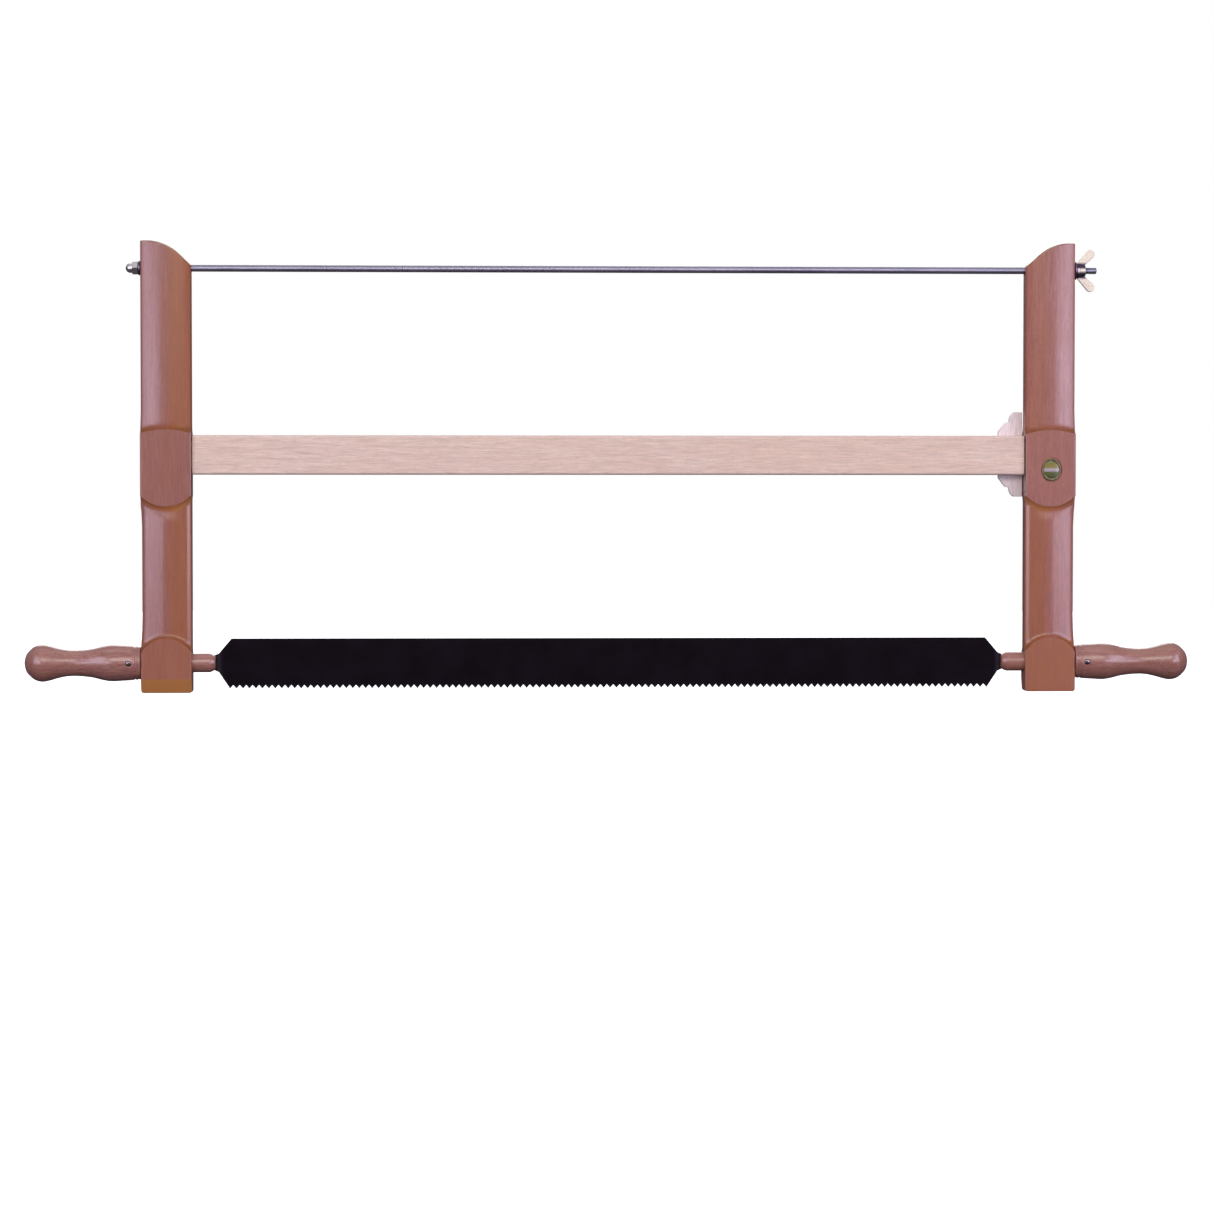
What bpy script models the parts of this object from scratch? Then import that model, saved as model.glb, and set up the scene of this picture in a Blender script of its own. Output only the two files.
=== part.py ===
"""Bow saw: a wooden frame saw with a turning blade.

Two arms stand at the ends of a stretcher and rock on its tenons. A blade is held between
two turned handles at the foot of the arms, and a threaded rod with a wing nut pulls the
tops of the arms together, which tensions the blade.

Frame: X runs along the saw, the front face looks along -Y and Z is up. The origin is on the
ground under the middle of the saw. All sizes are in metres.
"""

import math

import bmesh
import bpy
from mathutils import Matrix

# Clearance between touching pieces
GAP = 0.0003

# Arms
ARM_INNER = 0.371            # from the middle of the saw to an arm's inner face
ARM_WIDTH = 0.045
ARM_HEIGHT = 0.400
ARM_DEPTH = 0.024
LOWER_SHANK_WIDTH = 0.0438   # the shanks are narrower on their outer side
UPPER_SHANK_WIDTH = 0.0446
FOOT_SIDE = 0.046            # height at which the foot block's side ends
BLOCK_SIDE = (0.168, 0.236)  # heights between which the mid block's side runs
SIDE_RUN = 0.014             # length of the run from a block's side to a shank's
FOOT_CORNER = 0.0025
TOP_CORNER = 0.0012
TOP_FLAT = 0.004
TOP_RADIUS = 0.0427
BLOCK_TOP = (0.2332, 0.2297)     # height of the mid block's upper edge: middle, sides
BLOCK_BOTTOM = (0.1652, 0.1752)  # height of its lower edge: middle, sides
FOOT_TOP = (0.0482, 0.0347)      # height of the foot block's arched edge: middle, sides
UPPER_CROWN = (0.0108, 0.0060)   # upper shank's half depth: middle, edges
LOWER_CROWN = (0.0105, 0.0085, 0.0065)  # lower shank's: middle, chamfer, edges
LOWER_CHAMFER_AT = 0.85          # share of the half width where the chamfer starts
LOWER_RIDGE = 0.14               # share over which the ridge is rounded
LOWER_BULGE = 0.0014             # bulge of the slopes beside the ridge
FOOT_CHAMFER = (0.005, 0.012)    # depth and height
CUT_MARGIN = 0.003               # how far a cutter stands past the wood

# Stretcher and its plate
STRETCHER_Z = 0.211
STRETCHER_HEIGHT = 0.035
STRETCHER_DEPTH = 0.016
STRETCHER_ARRIS = 0.002
SHOULDER_RADIUS = 0.200
TENON = (0.018, 0.008, 0.024)    # length, depth, height
MORTISE = (0.020, 0.0086, 0.026)
PLATE_REACH = 0.0219
PLATE_FRONT = 0.0046
PLATE_DEPTH = 0.005
PLATE_EDGE_RADIUS = 1.200
PLATE_HALF_HEIGHT = 0.0388
PLATE_RISE = 0.0212          # height at which the plate's straight side starts to slant
PLATE_STEP = ((0.0160, 0.0292), (0.0123, 0.0302))  # step above the slant: reach, height
PLATE_ROUND = 0.0069         # reach at which the rounded top becomes flat
PLATE_LOWER_SHARE = 0.95     # the lower half is a little less tall

# Tension rod and its fittings
ROD_Z = 0.376
ROD_RADIUS = 0.003
ROD_BORE = 0.004
THREAD_CLEARANCE = 0.0003
ROD_PAST_RIGHT_ARM = 0.020
ROD_IN_CAP = 0.007
WASHER_THICKNESS = 0.0016
LEFT_WASHER_RADIUS = 0.0064
RIGHT_WASHER_RADIUS = 0.0080
CAP_FLATS = 0.0109
CAP_HEX_LENGTH = 0.005
CAP_LENGTH = 0.011
CAP_DOME_RADIUS = 0.0043
CAP_HOLE_DEPTH = 0.0075
WING_HUB = (0.0065, 0.0052, 0.0078)   # radius at the washer, radius at the end, length
WING_ROOT = (0.0037, 0.0060, 0.0030)   # along the rod, away from it, radius
WING_TIP = (0.0122, 0.0147, 0.0040)
WING_DEPTH = 0.0028

# Blade, handles and pins
BLADE_Z = 0.0265
BLADE_THICKNESS = 0.0008
BLADE_TOP = 0.048
TOOTH_TIP_Z = 0.0035
TOOTH_DEPTH = 0.0032
TOOTH_COUNT = 118
TEETH_HALF_LENGTH = 0.338
BLADE_TOP_HALF_LENGTH = 0.3366
NECK_START = 0.3478
NECK_HALF_HEIGHT = 0.0083
TANG_HALF_HEIGHT = 0.0065
TANG_START = 0.352
TANG_END = 0.4345
SPINDLE_RADIUS = 0.0085
SPINDLE_BORE = 0.0095
SPINDLE_END = 0.3505
SPINDLE_CHAMFER = (0.0045, 0.0025)  # length and depth
KERF_WIDTH = 0.0014
KERF_END = 0.436
PIN_AT = 0.0105              # from the arm's outer face
PIN_RADIUS = 0.0022
PIN_BORE = 0.0025
PIN_HALF_LENGTH = 0.0157
# Handle outline: distance from the arm's outer face, radius
HANDLE_OUTLINE = (
    (0.0003, 0.0134), (0.0015, 0.0146), (0.0075, 0.0153), (0.0175, 0.0159), (0.0266, 0.0163),
    (0.0345, 0.0151), (0.0424, 0.0131), (0.0503, 0.0120), (0.0589, 0.0115), (0.0668, 0.0120),
    (0.0746, 0.0137), (0.0809, 0.0155), (0.0873, 0.0166), (0.0935, 0.0152), (0.0982, 0.0117),
    (0.1018, 0.0071), (0.1035, 0.0),
)
TURNING_STEPS = 28

# Badge on the right arm
BADGE_AT = (0.023, 0.198)    # from the arm's inner face, height
BADGE_RECESS = (0.0098, 0.0113, 0.0012)  # half width, half height, depth
BADGE_RIM = (0.0087, 0.0101, 0.0009)
BADGE_DISC = (0.0066, 0.0076, 0.0006)

# Planes for flat outlines: first and second outline axis, then the direction of extrusion
UPRIGHT = Matrix.Rotation(math.pi / 2, 4, "X")                    # outline in XZ
ACROSS = Matrix(((0, 0, 1, 0), (1, 0, 0, 0), (0, 1, 0, 0), (0, 0, 0, 1)))  # outline in YZ
LEVEL = Matrix.Identity(4)                                        # outline in XY


# ---------------------------------------------------------------- scene and materials

def clear_scene():
    for obj in list(bpy.data.objects):
        bpy.data.objects.remove(obj)


def new_collection(name):
    collection = bpy.data.collections.new(name)
    bpy.context.scene.collection.children.link(collection)
    return collection


def principled(name, color, roughness, metallic):
    material = bpy.data.materials.new(name)
    material.use_nodes = True
    shader = material.node_tree.nodes["Principled BSDF"]
    shader.inputs["Base Color"].default_value = (*color, 1.0)
    shader.inputs["Roughness"].default_value = roughness
    shader.inputs["Metallic"].default_value = metallic
    return material


def beech():
    return principled("beech", (0.36, 0.14, 0.11), 0.38, 0.0)


def pale_beech():
    return principled("pale_beech", (0.74, 0.54, 0.45), 0.45, 0.0)


def dark_steel():
    return principled("dark_steel", (0.02, 0.017, 0.022), 0.35, 0.9)


def bright_steel():
    return principled("bright_steel", (0.55, 0.55, 0.57), 0.28, 1.0)


def rod_steel():
    return principled("rod_steel", (0.30, 0.30, 0.36), 0.32, 1.0)


def cast_wing():
    return principled("cast_wing", (0.72, 0.66, 0.52), 0.42, 0.8)


def badge_metal():
    return principled("badge_metal", (0.60, 0.56, 0.42), 0.30, 1.0)


def badge_enamel():
    return principled("badge_enamel", (0.16, 0.17, 0.05), 0.25, 0.0)


# ---------------------------------------------------------------- modelling helpers

def add_object(name, mesh, collection, material=None, location=(0, 0, 0), turn=None):
    obj = bpy.data.objects.new(name, mesh)
    collection.objects.link(obj)
    obj.location = location
    if turn:
        obj.rotation_euler = turn
    if material:
        mesh.materials.clear()
        mesh.materials.append(material)
    return obj


def arc(center, radius, start, end, steps):
    """Points on an arc, from one angle to another, in degrees."""
    points = []
    for step in range(steps + 1):
        angle = math.radians(start + (end - start) * step / steps)
        points.append((center[0] + radius * math.cos(angle), center[1] + radius * math.sin(angle)))
    return points


def oval(half_width, half_height, steps):
    return [(half_width * x, half_height * y) for x, y in arc((0, 0), 1, 0, 360, steps)[:-1]]


def bowed_line(width, height_middle, height_sides, steps):
    """A circular arc across a width, given its height at the middle and at the sides."""
    half = width / 2
    rise = height_middle - height_sides
    radius = (half * half + rise * rise) / (2 * rise)
    points = []
    for step in range(steps + 1):
        offset = -half + width * step / steps
        inward = math.copysign(math.sqrt(radius * radius - offset * offset), radius)
        points.append((half + offset, height_middle - radius + inward))
    return points


def prism(outlines, half_depth, plane):
    """A closed mesh: one filled 2D curve, extruded both ways, its caps welded on."""
    curve = bpy.data.curves.new("outline", "CURVE")
    curve.dimensions = "2D"
    curve.fill_mode = "BOTH"
    curve.extrude = half_depth
    for outline in outlines:
        spline = curve.splines.new("POLY")
        spline.points.add(len(outline) - 1)
        for point, (first, second) in zip(spline.points, outline):
            point.co = (first, second, 0, 1)
        spline.use_cyclic_u = True
    holder = bpy.data.objects.new("outline", curve)
    bpy.context.scene.collection.objects.link(holder)
    evaluated = holder.evaluated_get(bpy.context.evaluated_depsgraph_get())
    mesh = bpy.data.meshes.new_from_object(evaluated)
    bpy.data.objects.remove(holder)
    edit = bmesh.new()
    edit.from_mesh(mesh)
    bmesh.ops.remove_doubles(edit, verts=edit.verts, dist=1e-6)
    bmesh.ops.recalc_face_normals(edit, faces=edit.faces)
    edit.to_mesh(mesh)
    edit.free()
    mesh.transform(plane)
    return mesh


def box(size, center):
    edit = bmesh.new()
    bmesh.ops.create_cube(edit, size=1.0)
    bmesh.ops.scale(edit, vec=size, verts=edit.verts)
    bmesh.ops.translate(edit, vec=center, verts=edit.verts)
    mesh = bpy.data.meshes.new("box")
    edit.to_mesh(mesh)
    edit.free()
    return mesh


def cylinder(radius, length, segments, center=(0, 0, 0), axis="Z", end_radius=None):
    """A cylinder or cone; along Z, X or Y, from the first radius to the end radius."""
    edit = bmesh.new()
    bmesh.ops.create_cone(
        edit, cap_ends=True, segments=segments, depth=length,
        radius1=radius, radius2=radius if end_radius is None else end_radius)
    if axis == "X":
        bmesh.ops.rotate(edit, matrix=Matrix.Rotation(math.pi / 2, 3, "Y"), verts=edit.verts)
    if axis == "Y":
        bmesh.ops.rotate(edit, matrix=Matrix.Rotation(-math.pi / 2, 3, "X"), verts=edit.verts)
    bmesh.ops.translate(edit, vec=center, verts=edit.verts)
    mesh = bpy.data.meshes.new("cylinder")
    edit.to_mesh(mesh)
    edit.free()
    return mesh


def profile_mesh(points, closed=False):
    """An edge outline of (radius, height) pairs in the XZ plane, for a Screw modifier."""
    count = len(points)
    edges = [(index, index + 1) for index in range(count - 1)]
    if closed:
        edges.append((count - 1, 0))
    mesh = bpy.data.meshes.new("profile")
    mesh.from_pydata([(radius, 0, height) for radius, height in points], edges, [])
    return mesh


def turn_profile(obj, steps):
    """Turns the object's outline about its own Z axis."""
    screw = obj.modifiers.new("turning", "SCREW")
    screw.axis = "Z"
    screw.angle = math.tau
    screw.steps = steps
    screw.render_steps = steps
    screw.use_merge_vertices = True
    screw.merge_threshold = 0.00001
    screw.use_smooth_shade = True


def soften(obj, width, segments, angle=40):
    bevel = obj.modifiers.new("arris", "BEVEL")
    bevel.width = width
    bevel.segments = segments
    bevel.limit_method = "ANGLE"
    bevel.angle_limit = math.radians(angle)


def combine(obj, mesh, name, operation="DIFFERENCE"):
    """Cuts or joins a hidden shape that is parented to the object."""
    tool = add_object(name, mesh, CUTTERS)
    tool.parent = obj
    tool.hide_render = True
    tool.display_type = "WIRE"
    boolean = obj.modifiers.new(name, "BOOLEAN")
    boolean.operation = operation
    boolean.solver = "EXACT"
    boolean.object = tool
    return tool


# ---------------------------------------------------------------- arms

def arm_outline():
    """Front outline of the right arm: distance from its inner face, height."""
    outer = ARM_WIDTH
    lower = LOWER_SHANK_WIDTH
    upper = UPPER_SHANK_WIDTH
    corner = FOOT_CORNER
    points = arc((corner, corner), corner, 180, 270, 3)
    points += arc((outer - corner, corner), corner, 270, 360, 3)
    points += [(outer, FOOT_SIDE), (lower, FOOT_SIDE + SIDE_RUN)]
    points += [(lower, BLOCK_SIDE[0] - SIDE_RUN), (outer, BLOCK_SIDE[0])]
    points += [(outer, BLOCK_SIDE[1]), (upper, BLOCK_SIDE[1] + SIDE_RUN)]
    points += arc((upper - TOP_CORNER, ARM_HEIGHT - TOP_CORNER), TOP_CORNER, 0, 90, 3)
    shoulder = upper - TOP_CORNER - TOP_FLAT
    points += arc((shoulder, ARM_HEIGHT - TOP_RADIUS), TOP_RADIUS, 90, 135, 8)
    tangent = points[-1]
    points.append((0, tangent[1] - tangent[0]))
    return points


def crown_section(half_depth_at, steps):
    """Cross-section of a shank: distance from the arm's inner face, depth."""
    half = ARM_WIDTH / 2
    front = []
    for step in range(steps + 1):
        offset = -1 + 2 * step / steps
        front.append((half + half * offset, half_depth_at(abs(offset))))
    edge = front[0][1]
    front = [(-2 * CUT_MARGIN, edge)] + front + [(ARM_WIDTH + 2 * CUT_MARGIN, edge)]
    return front + [(across, -depth) for across, depth in reversed(front)]


def upper_half_depth(offset):
    middle, edge = UPPER_CROWN
    return edge + (middle - edge) * math.sqrt(max(0.0, 1 - offset * offset))


def lower_half_depth(offset):
    """A low roof with a rounded ridge, chamfered along both sides."""
    middle, chamfer, edge = LOWER_CROWN
    if offset < LOWER_CHAMFER_AT:
        rounded = max(0.0, LOWER_RIDGE - offset) ** 2 / (2 * LOWER_RIDGE)
        bulge = LOWER_BULGE * offset * (LOWER_CHAMFER_AT - offset)
        return middle + bulge - (middle - chamfer) * (offset + rounded) / LOWER_CHAMFER_AT
    share = (offset - LOWER_CHAMFER_AT) / (1 - LOWER_CHAMFER_AT)
    return chamfer + (edge - chamfer) * share


def widened(line):
    """An edge line carried straight on past both sides of the arm."""
    return [(-CUT_MARGIN, line[0][1])] + line + [(ARM_WIDTH + CUT_MARGIN, line[-1][1])]


def arm_space(mesh):
    """Moves a mesh from heights above the ground to the arm's own origin, its pivot."""
    mesh.transform(Matrix.Translation((0, 0, -STRETCHER_Z)))
    return mesh


def cut_relief(arm, name, lower_line, upper_line, half_depth_at):
    """Takes the wood off front and back between two lines and leaves a crowned shank."""
    zone_outline = widened(lower_line) + list(reversed(widened(upper_line)))
    zone = prism([zone_outline], ARM_DEPTH / 2 + CUT_MARGIN, UPRIGHT)
    tool = combine(arm, arm_space(zone), name)
    heights = [height for _, height in zone_outline]
    middle = (max(heights) + min(heights)) / 2
    half_length = (max(heights) - min(heights)) / 2 + CUT_MARGIN
    core = prism([crown_section(half_depth_at, 12)], half_length, LEVEL)
    core.transform(Matrix.Translation((0, 0, middle)))
    combine(tool, arm_space(core), name + "_core")


def add_arm(name, side, material):
    """One arm; side is +1 for the right arm and -1 for the left one, turned half round."""
    mesh = arm_space(prism([arm_outline()], ARM_DEPTH / 2, UPRIGHT))
    turn = None if side > 0 else (0, 0, math.pi)
    arm = add_object(name, mesh, PARTS, material, (side * ARM_INNER, 0, STRETCHER_Z), turn)
    above = ARM_HEIGHT + CUT_MARGIN
    cut_relief(
        arm, name + "_upper_relief", bowed_line(ARM_WIDTH, *BLOCK_TOP, 10),
        [(0, above), (ARM_WIDTH, above)], upper_half_depth)
    cut_relief(
        arm, name + "_lower_relief", bowed_line(ARM_WIDTH, *FOOT_TOP, 12),
        bowed_line(ARM_WIDTH, *BLOCK_BOTTOM, 12), lower_half_depth)
    depth, height = FOOT_CHAMFER
    slope = height / depth
    back = ARM_DEPTH / 2
    wedge = [
        (back - depth - CUT_MARGIN / slope, -CUT_MARGIN),
        (back + CUT_MARGIN, -CUT_MARGIN),
        (back + CUT_MARGIN, height + CUT_MARGIN * slope),
    ]
    chamfer = prism([wedge], ARM_WIDTH, ACROSS)
    combine(arm, arm_space(chamfer), name + "_foot_chamfer")
    middle = ARM_WIDTH / 2
    through = ARM_WIDTH + 2 * CUT_MARGIN
    bore = cylinder(SPINDLE_BORE, through, 32, (middle, 0, BLADE_Z), "X")
    combine(arm, arm_space(bore), name + "_spindle_bore")
    bore = cylinder(ROD_BORE, through, 20, (middle, 0, ROD_Z), "X")
    combine(arm, arm_space(bore), name + "_rod_bore")
    length, thickness, tall = MORTISE
    pocket = box((length + CUT_MARGIN, thickness, tall), ((length - CUT_MARGIN) / 2, 0, STRETCHER_Z))
    combine(arm, arm_space(pocket), name + "_mortise")
    return arm


# ---------------------------------------------------------------- stretcher and plate

def shoulder_line(radius, half_height, end, steps):
    """Crowned end line of the stretcher or its plate: distance along X, height."""
    points = []
    for step in range(steps + 1):
        offset = -half_height + 2 * half_height * step / steps
        points.append((end - offset * offset / (2 * radius), offset))
    return points


def add_stretcher(material):
    half = STRETCHER_HEIGHT / 2
    shoulder = shoulder_line(SHOULDER_RADIUS, half, ARM_INNER - GAP, 6)
    outline = shoulder + [(-across, -height) for across, height in shoulder]
    mesh = prism([outline], STRETCHER_DEPTH / 2, UPRIGHT)
    stretcher = add_object("stretcher", mesh, PARTS, material, (0, 0, STRETCHER_Z))
    soften(stretcher, STRETCHER_ARRIS, 2)
    length, thickness, tall = TENON
    root = 0.010
    for side, name in ((-1, "left"), (1, "right")):
        middle = side * (ARM_INNER + (length - root) / 2)
        tenon = box((length + root, thickness, tall), (middle, 0, 0))
        combine(stretcher, tenon, name + "_tenon", "UNION")
    rebate_floor = PLATE_FRONT - GAP
    rebate_depth = STRETCHER_DEPTH / 2 - rebate_floor + CUT_MARGIN
    rebate_start = ARM_INNER - PLATE_REACH - 2 * GAP
    rebate_length = PLATE_REACH + CUT_MARGIN
    rebate = box(
        (rebate_length, rebate_depth, STRETCHER_HEIGHT + 2 * CUT_MARGIN),
        (rebate_start + rebate_length / 2, rebate_floor + rebate_depth / 2, 0))
    combine(stretcher, rebate, "plate_rebate")
    return stretcher


def plate_outline():
    """Scalloped plate: distance along X, height from the stretcher's middle."""
    end = ARM_INNER - GAP
    upper = [(end - PLATE_REACH, PLATE_RISE)]
    upper += [(end - reach, height) for reach, height in PLATE_STEP]
    step_reach, step_height = PLATE_STEP[-1]
    for share_x, share_z in arc((0, 0), 1, 180, 90, 6)[1:]:
        across = end - PLATE_ROUND + (step_reach - PLATE_ROUND) * share_x
        upper.append((across, step_height + (PLATE_HALF_HEIGHT - step_height) * share_z))
    edge = shoulder_line(PLATE_EDGE_RADIUS, PLATE_HALF_HEIGHT, end, 8)
    lower = [(across, -height) for across, height in upper]
    outline = upper + list(reversed(edge)) + list(reversed(lower))
    return [(x, z if z > 0 else z * PLATE_LOWER_SHARE) for x, z in outline]


def add_plate(material):
    mesh = prism([plate_outline()], PLATE_DEPTH / 2, UPRIGHT)
    middle = PLATE_FRONT + PLATE_DEPTH / 2
    return add_object("scalloped_plate", mesh, PARTS, material, (0, middle, STRETCHER_Z))


# ---------------------------------------------------------------- rod and fittings

def shank_face():
    return ARM_INNER + UPPER_SHANK_WIDTH


def washer_start():
    return shank_face() + GAP


def nut_start():
    return washer_start() + WASHER_THICKNESS + GAP


def add_rod(material):
    left = -(nut_start() + ROD_IN_CAP)
    right = shank_face() + ROD_PAST_RIGHT_ARM
    mesh = cylinder(ROD_RADIUS, right - left, 20, axis="X")
    return add_object("tension_rod", mesh, PARTS, material, ((left + right) / 2, 0, ROD_Z))


def add_washer(name, side, radius, material):
    hole = ROD_RADIUS + THREAD_CLEARANCE
    ring = [(radius, WASHER_THICKNESS), (radius, 0), (hole, 0), (hole, WASHER_THICKNESS)]
    place = (side * washer_start(), 0, ROD_Z)
    washer = add_object(
        name, profile_mesh(ring, closed=True), PARTS, material, place, (0, side * math.pi / 2, 0))
    turn_profile(washer, 24)
    return washer


def add_cap_nut(material):
    """Hexagon with a domed cap, blind hole towards the arm; local Z points away from it."""
    corner = CAP_FLATS / math.sqrt(3)
    mesh = cylinder(corner, CAP_HEX_LENGTH, 6, (0, 0, CAP_HEX_LENGTH / 2))
    place = (-nut_start(), 0, ROD_Z)
    cap = add_object("cap_nut", mesh, PARTS, material, place, (0, -math.pi / 2, 0))
    center = CAP_LENGTH - CAP_DOME_RADIUS
    dome = [(0, CAP_LENGTH)]
    dome += [(x, z) for x, z in arc((0, center), CAP_DOME_RADIUS, 90, 0, 5)][1:]
    dome += [(CAP_DOME_RADIUS, CAP_HEX_LENGTH / 2), (0, CAP_HEX_LENGTH / 2)]
    tool = combine(cap, profile_mesh(dome), "cap_dome", "UNION")
    turn_profile(tool, 20)
    hole_radius = ROD_RADIUS + THREAD_CLEARANCE
    hole_length = CAP_HOLE_DEPTH + CUT_MARGIN
    hole = cylinder(hole_radius, hole_length, 20, (0, 0, CAP_HOLE_DEPTH - hole_length / 2))
    combine(cap, hole, "cap_hole")
    return cap


def ear_outline(side):
    """A wing: two circles and their outer tangents; distance along the rod, height."""
    root_x, root_z, root_radius = WING_ROOT
    tip_x, tip_z, tip_radius = WING_TIP
    heading = math.degrees(math.atan2(tip_z - root_z, tip_x - root_x))
    distance = math.hypot(tip_x - root_x, tip_z - root_z)
    lean = math.degrees(math.asin((tip_radius - root_radius) / distance))
    points = arc((tip_x, tip_z), tip_radius, heading - 90 - lean, heading + 90 + lean, 10)
    points += arc((root_x, root_z), root_radius, heading + 90 + lean, heading + 270 - lean, 8)
    return [(across, side * height) for across, height in points]


def add_wing_nut(material):
    base, end, length = WING_HUB
    mesh = cylinder(base, length, 24, (length / 2, 0, 0), "X", end)
    nut = add_object("wing_nut", mesh, PARTS, material, (nut_start(), 0, ROD_Z))
    for side, name in ((1, "upper_wing"), (-1, "lower_wing")):
        combine(nut, prism([ear_outline(side)], WING_DEPTH / 2, UPRIGHT), name, "UNION")
    hole = cylinder(ROD_RADIUS + THREAD_CLEARANCE, 4 * length, 20, axis="X")
    combine(nut, hole, "wing_nut_hole")
    return nut


# ---------------------------------------------------------------- blade and handles

def blade_outline():
    """Outline of the blade with its tangs and teeth: distance along X, height."""
    right = [
        (TANG_END, BLADE_Z - TANG_HALF_HEIGHT), (TANG_END, BLADE_Z + TANG_HALF_HEIGHT),
        (TANG_START, BLADE_Z + TANG_HALF_HEIGHT), (NECK_START, BLADE_Z + NECK_HALF_HEIGHT),
        (BLADE_TOP_HALF_LENGTH, BLADE_TOP),
    ]
    left = [(-across, height) for across, height in reversed(right[1:])]
    left.append((-TANG_END, BLADE_Z - TANG_HALF_HEIGHT))
    below = [(-TANG_START, BLADE_Z - TANG_HALF_HEIGHT), (-NECK_START, BLADE_Z - NECK_HALF_HEIGHT)]
    pitch = 2 * TEETH_HALF_LENGTH / TOOTH_COUNT
    teeth = [(-TEETH_HALF_LENGTH, TOOTH_TIP_Z)]
    for tooth in range(TOOTH_COUNT):
        start = -TEETH_HALF_LENGTH + tooth * pitch
        teeth.append((start + pitch / 2, TOOTH_TIP_Z + TOOTH_DEPTH))
        teeth.append((start + pitch, TOOTH_TIP_Z))
    after = [(-across, height) for across, height in reversed(below)]
    return right + left + below + teeth + after


def pin_place():
    return ARM_INNER + ARM_WIDTH + PIN_AT


def add_blade(material):
    holes = []
    for side in (-1, 1):
        ring = arc((side * pin_place(), BLADE_Z), PIN_BORE, 0, 360, 20)[:-1]
        holes.append(ring)
    mesh = prism([blade_outline()] + holes, BLADE_THICKNESS / 2, UPRIGHT)
    mesh.transform(Matrix.Translation((0, 0, -BLADE_Z)))
    return add_object("saw_blade", mesh, PARTS, material, (0, 0, BLADE_Z))


def add_handle(name, side, material):
    """Handle and spindle in one; local Z runs outwards from the middle of the saw."""
    face = ARM_INNER + ARM_WIDTH
    length, depth = SPINDLE_CHAMFER
    outline = [(radius, face + distance) for distance, radius in reversed(HANDLE_OUTLINE)]
    outline += [
        (SPINDLE_RADIUS, face + HANDLE_OUTLINE[0][0]),
        (SPINDLE_RADIUS, SPINDLE_END + length),
        (SPINDLE_RADIUS - depth, SPINDLE_END),
        (0, SPINDLE_END),
    ]
    turn = (0, side * math.pi / 2, 0)
    handle = add_object(name, profile_mesh(outline), PARTS, material, (0, 0, BLADE_Z), turn)
    turn_profile(handle, TURNING_STEPS)
    kerf_start = SPINDLE_END - CUT_MARGIN
    kerf = box(
        (4 * SPINDLE_RADIUS, KERF_WIDTH, KERF_END - kerf_start), (0, 0, (kerf_start + KERF_END) / 2))
    combine(handle, kerf, name + "_kerf")
    hole = cylinder(PIN_BORE, 4 * PIN_HALF_LENGTH, 20, (0, 0, pin_place()), "Y")
    combine(handle, hole, name + "_pin_hole")
    return handle


def add_pin(name, side, material):
    mesh = cylinder(PIN_RADIUS, 2 * PIN_HALF_LENGTH, 20, axis="Y")
    pin = add_object(name, mesh, PARTS, material, (side * pin_place(), 0, BLADE_Z))
    soften(pin, 0.0004, 2)
    return pin


# ---------------------------------------------------------------- badge

def cut_badge_recess(arm):
    half_width, half_height, depth = BADGE_RECESS
    across, height = BADGE_AT
    mesh = prism([oval(half_width, half_height, 32)], depth + CUT_MARGIN, UPRIGHT)
    front = -ARM_DEPTH / 2 - CUT_MARGIN
    mesh.transform(Matrix.Translation((across, front, height)))
    combine(arm, arm_space(mesh), "badge_recess")


def add_badge_piece(name, outlines, thickness, material):
    """An oval piece lying on the floor of the recess."""
    floor = -ARM_DEPTH / 2 + BADGE_RECESS[2]
    mesh = prism(outlines, thickness / 2, UPRIGHT)
    across, height = BADGE_AT
    middle = floor - GAP - thickness / 2
    return add_object(name, mesh, PARTS, material, (ARM_INNER + across, middle, height))


def add_badge(metal, enamel):
    rim_width, rim_height, rim_depth = BADGE_RIM
    disc_width, disc_height, disc_depth = BADGE_DISC
    inside = oval(disc_width + GAP, disc_height + GAP, 32)
    add_badge_piece("badge_rim", [oval(rim_width, rim_height, 32), inside], rim_depth, metal)
    add_badge_piece("badge_disc", [oval(disc_width, disc_height, 32)], disc_depth, enamel)


# ---------------------------------------------------------------- the saw

def shade(collection):
    for obj in collection.objects:
        obj.data.set_sharp_from_angle(angle=math.radians(35))


def build_saw():
    wood = beech()
    pale = pale_beech()
    steel = bright_steel()
    rod = rod_steel()
    right_arm = add_arm("right_arm", 1, wood)
    cut_badge_recess(right_arm)
    add_arm("left_arm", -1, wood)
    add_stretcher(pale)
    add_plate(pale)
    add_rod(rod)
    add_washer("left_washer", -1, LEFT_WASHER_RADIUS, steel)
    add_cap_nut(steel)
    add_washer("right_washer", 1, RIGHT_WASHER_RADIUS, steel)
    add_wing_nut(cast_wing())
    add_blade(dark_steel())
    for side, word in ((-1, "left"), (1, "right")):
        add_handle(word + "_handle", side, wood)
        add_pin(word + "_blade_pin", side, steel)
    add_badge(badge_metal(), badge_enamel())
    shade(PARTS)


clear_scene()
PARTS = new_collection("bow_saw")
CUTTERS = new_collection("cutters")
build_saw()
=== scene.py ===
import math

import bmesh
import bpy
from mathutils import Matrix, Vector


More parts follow.
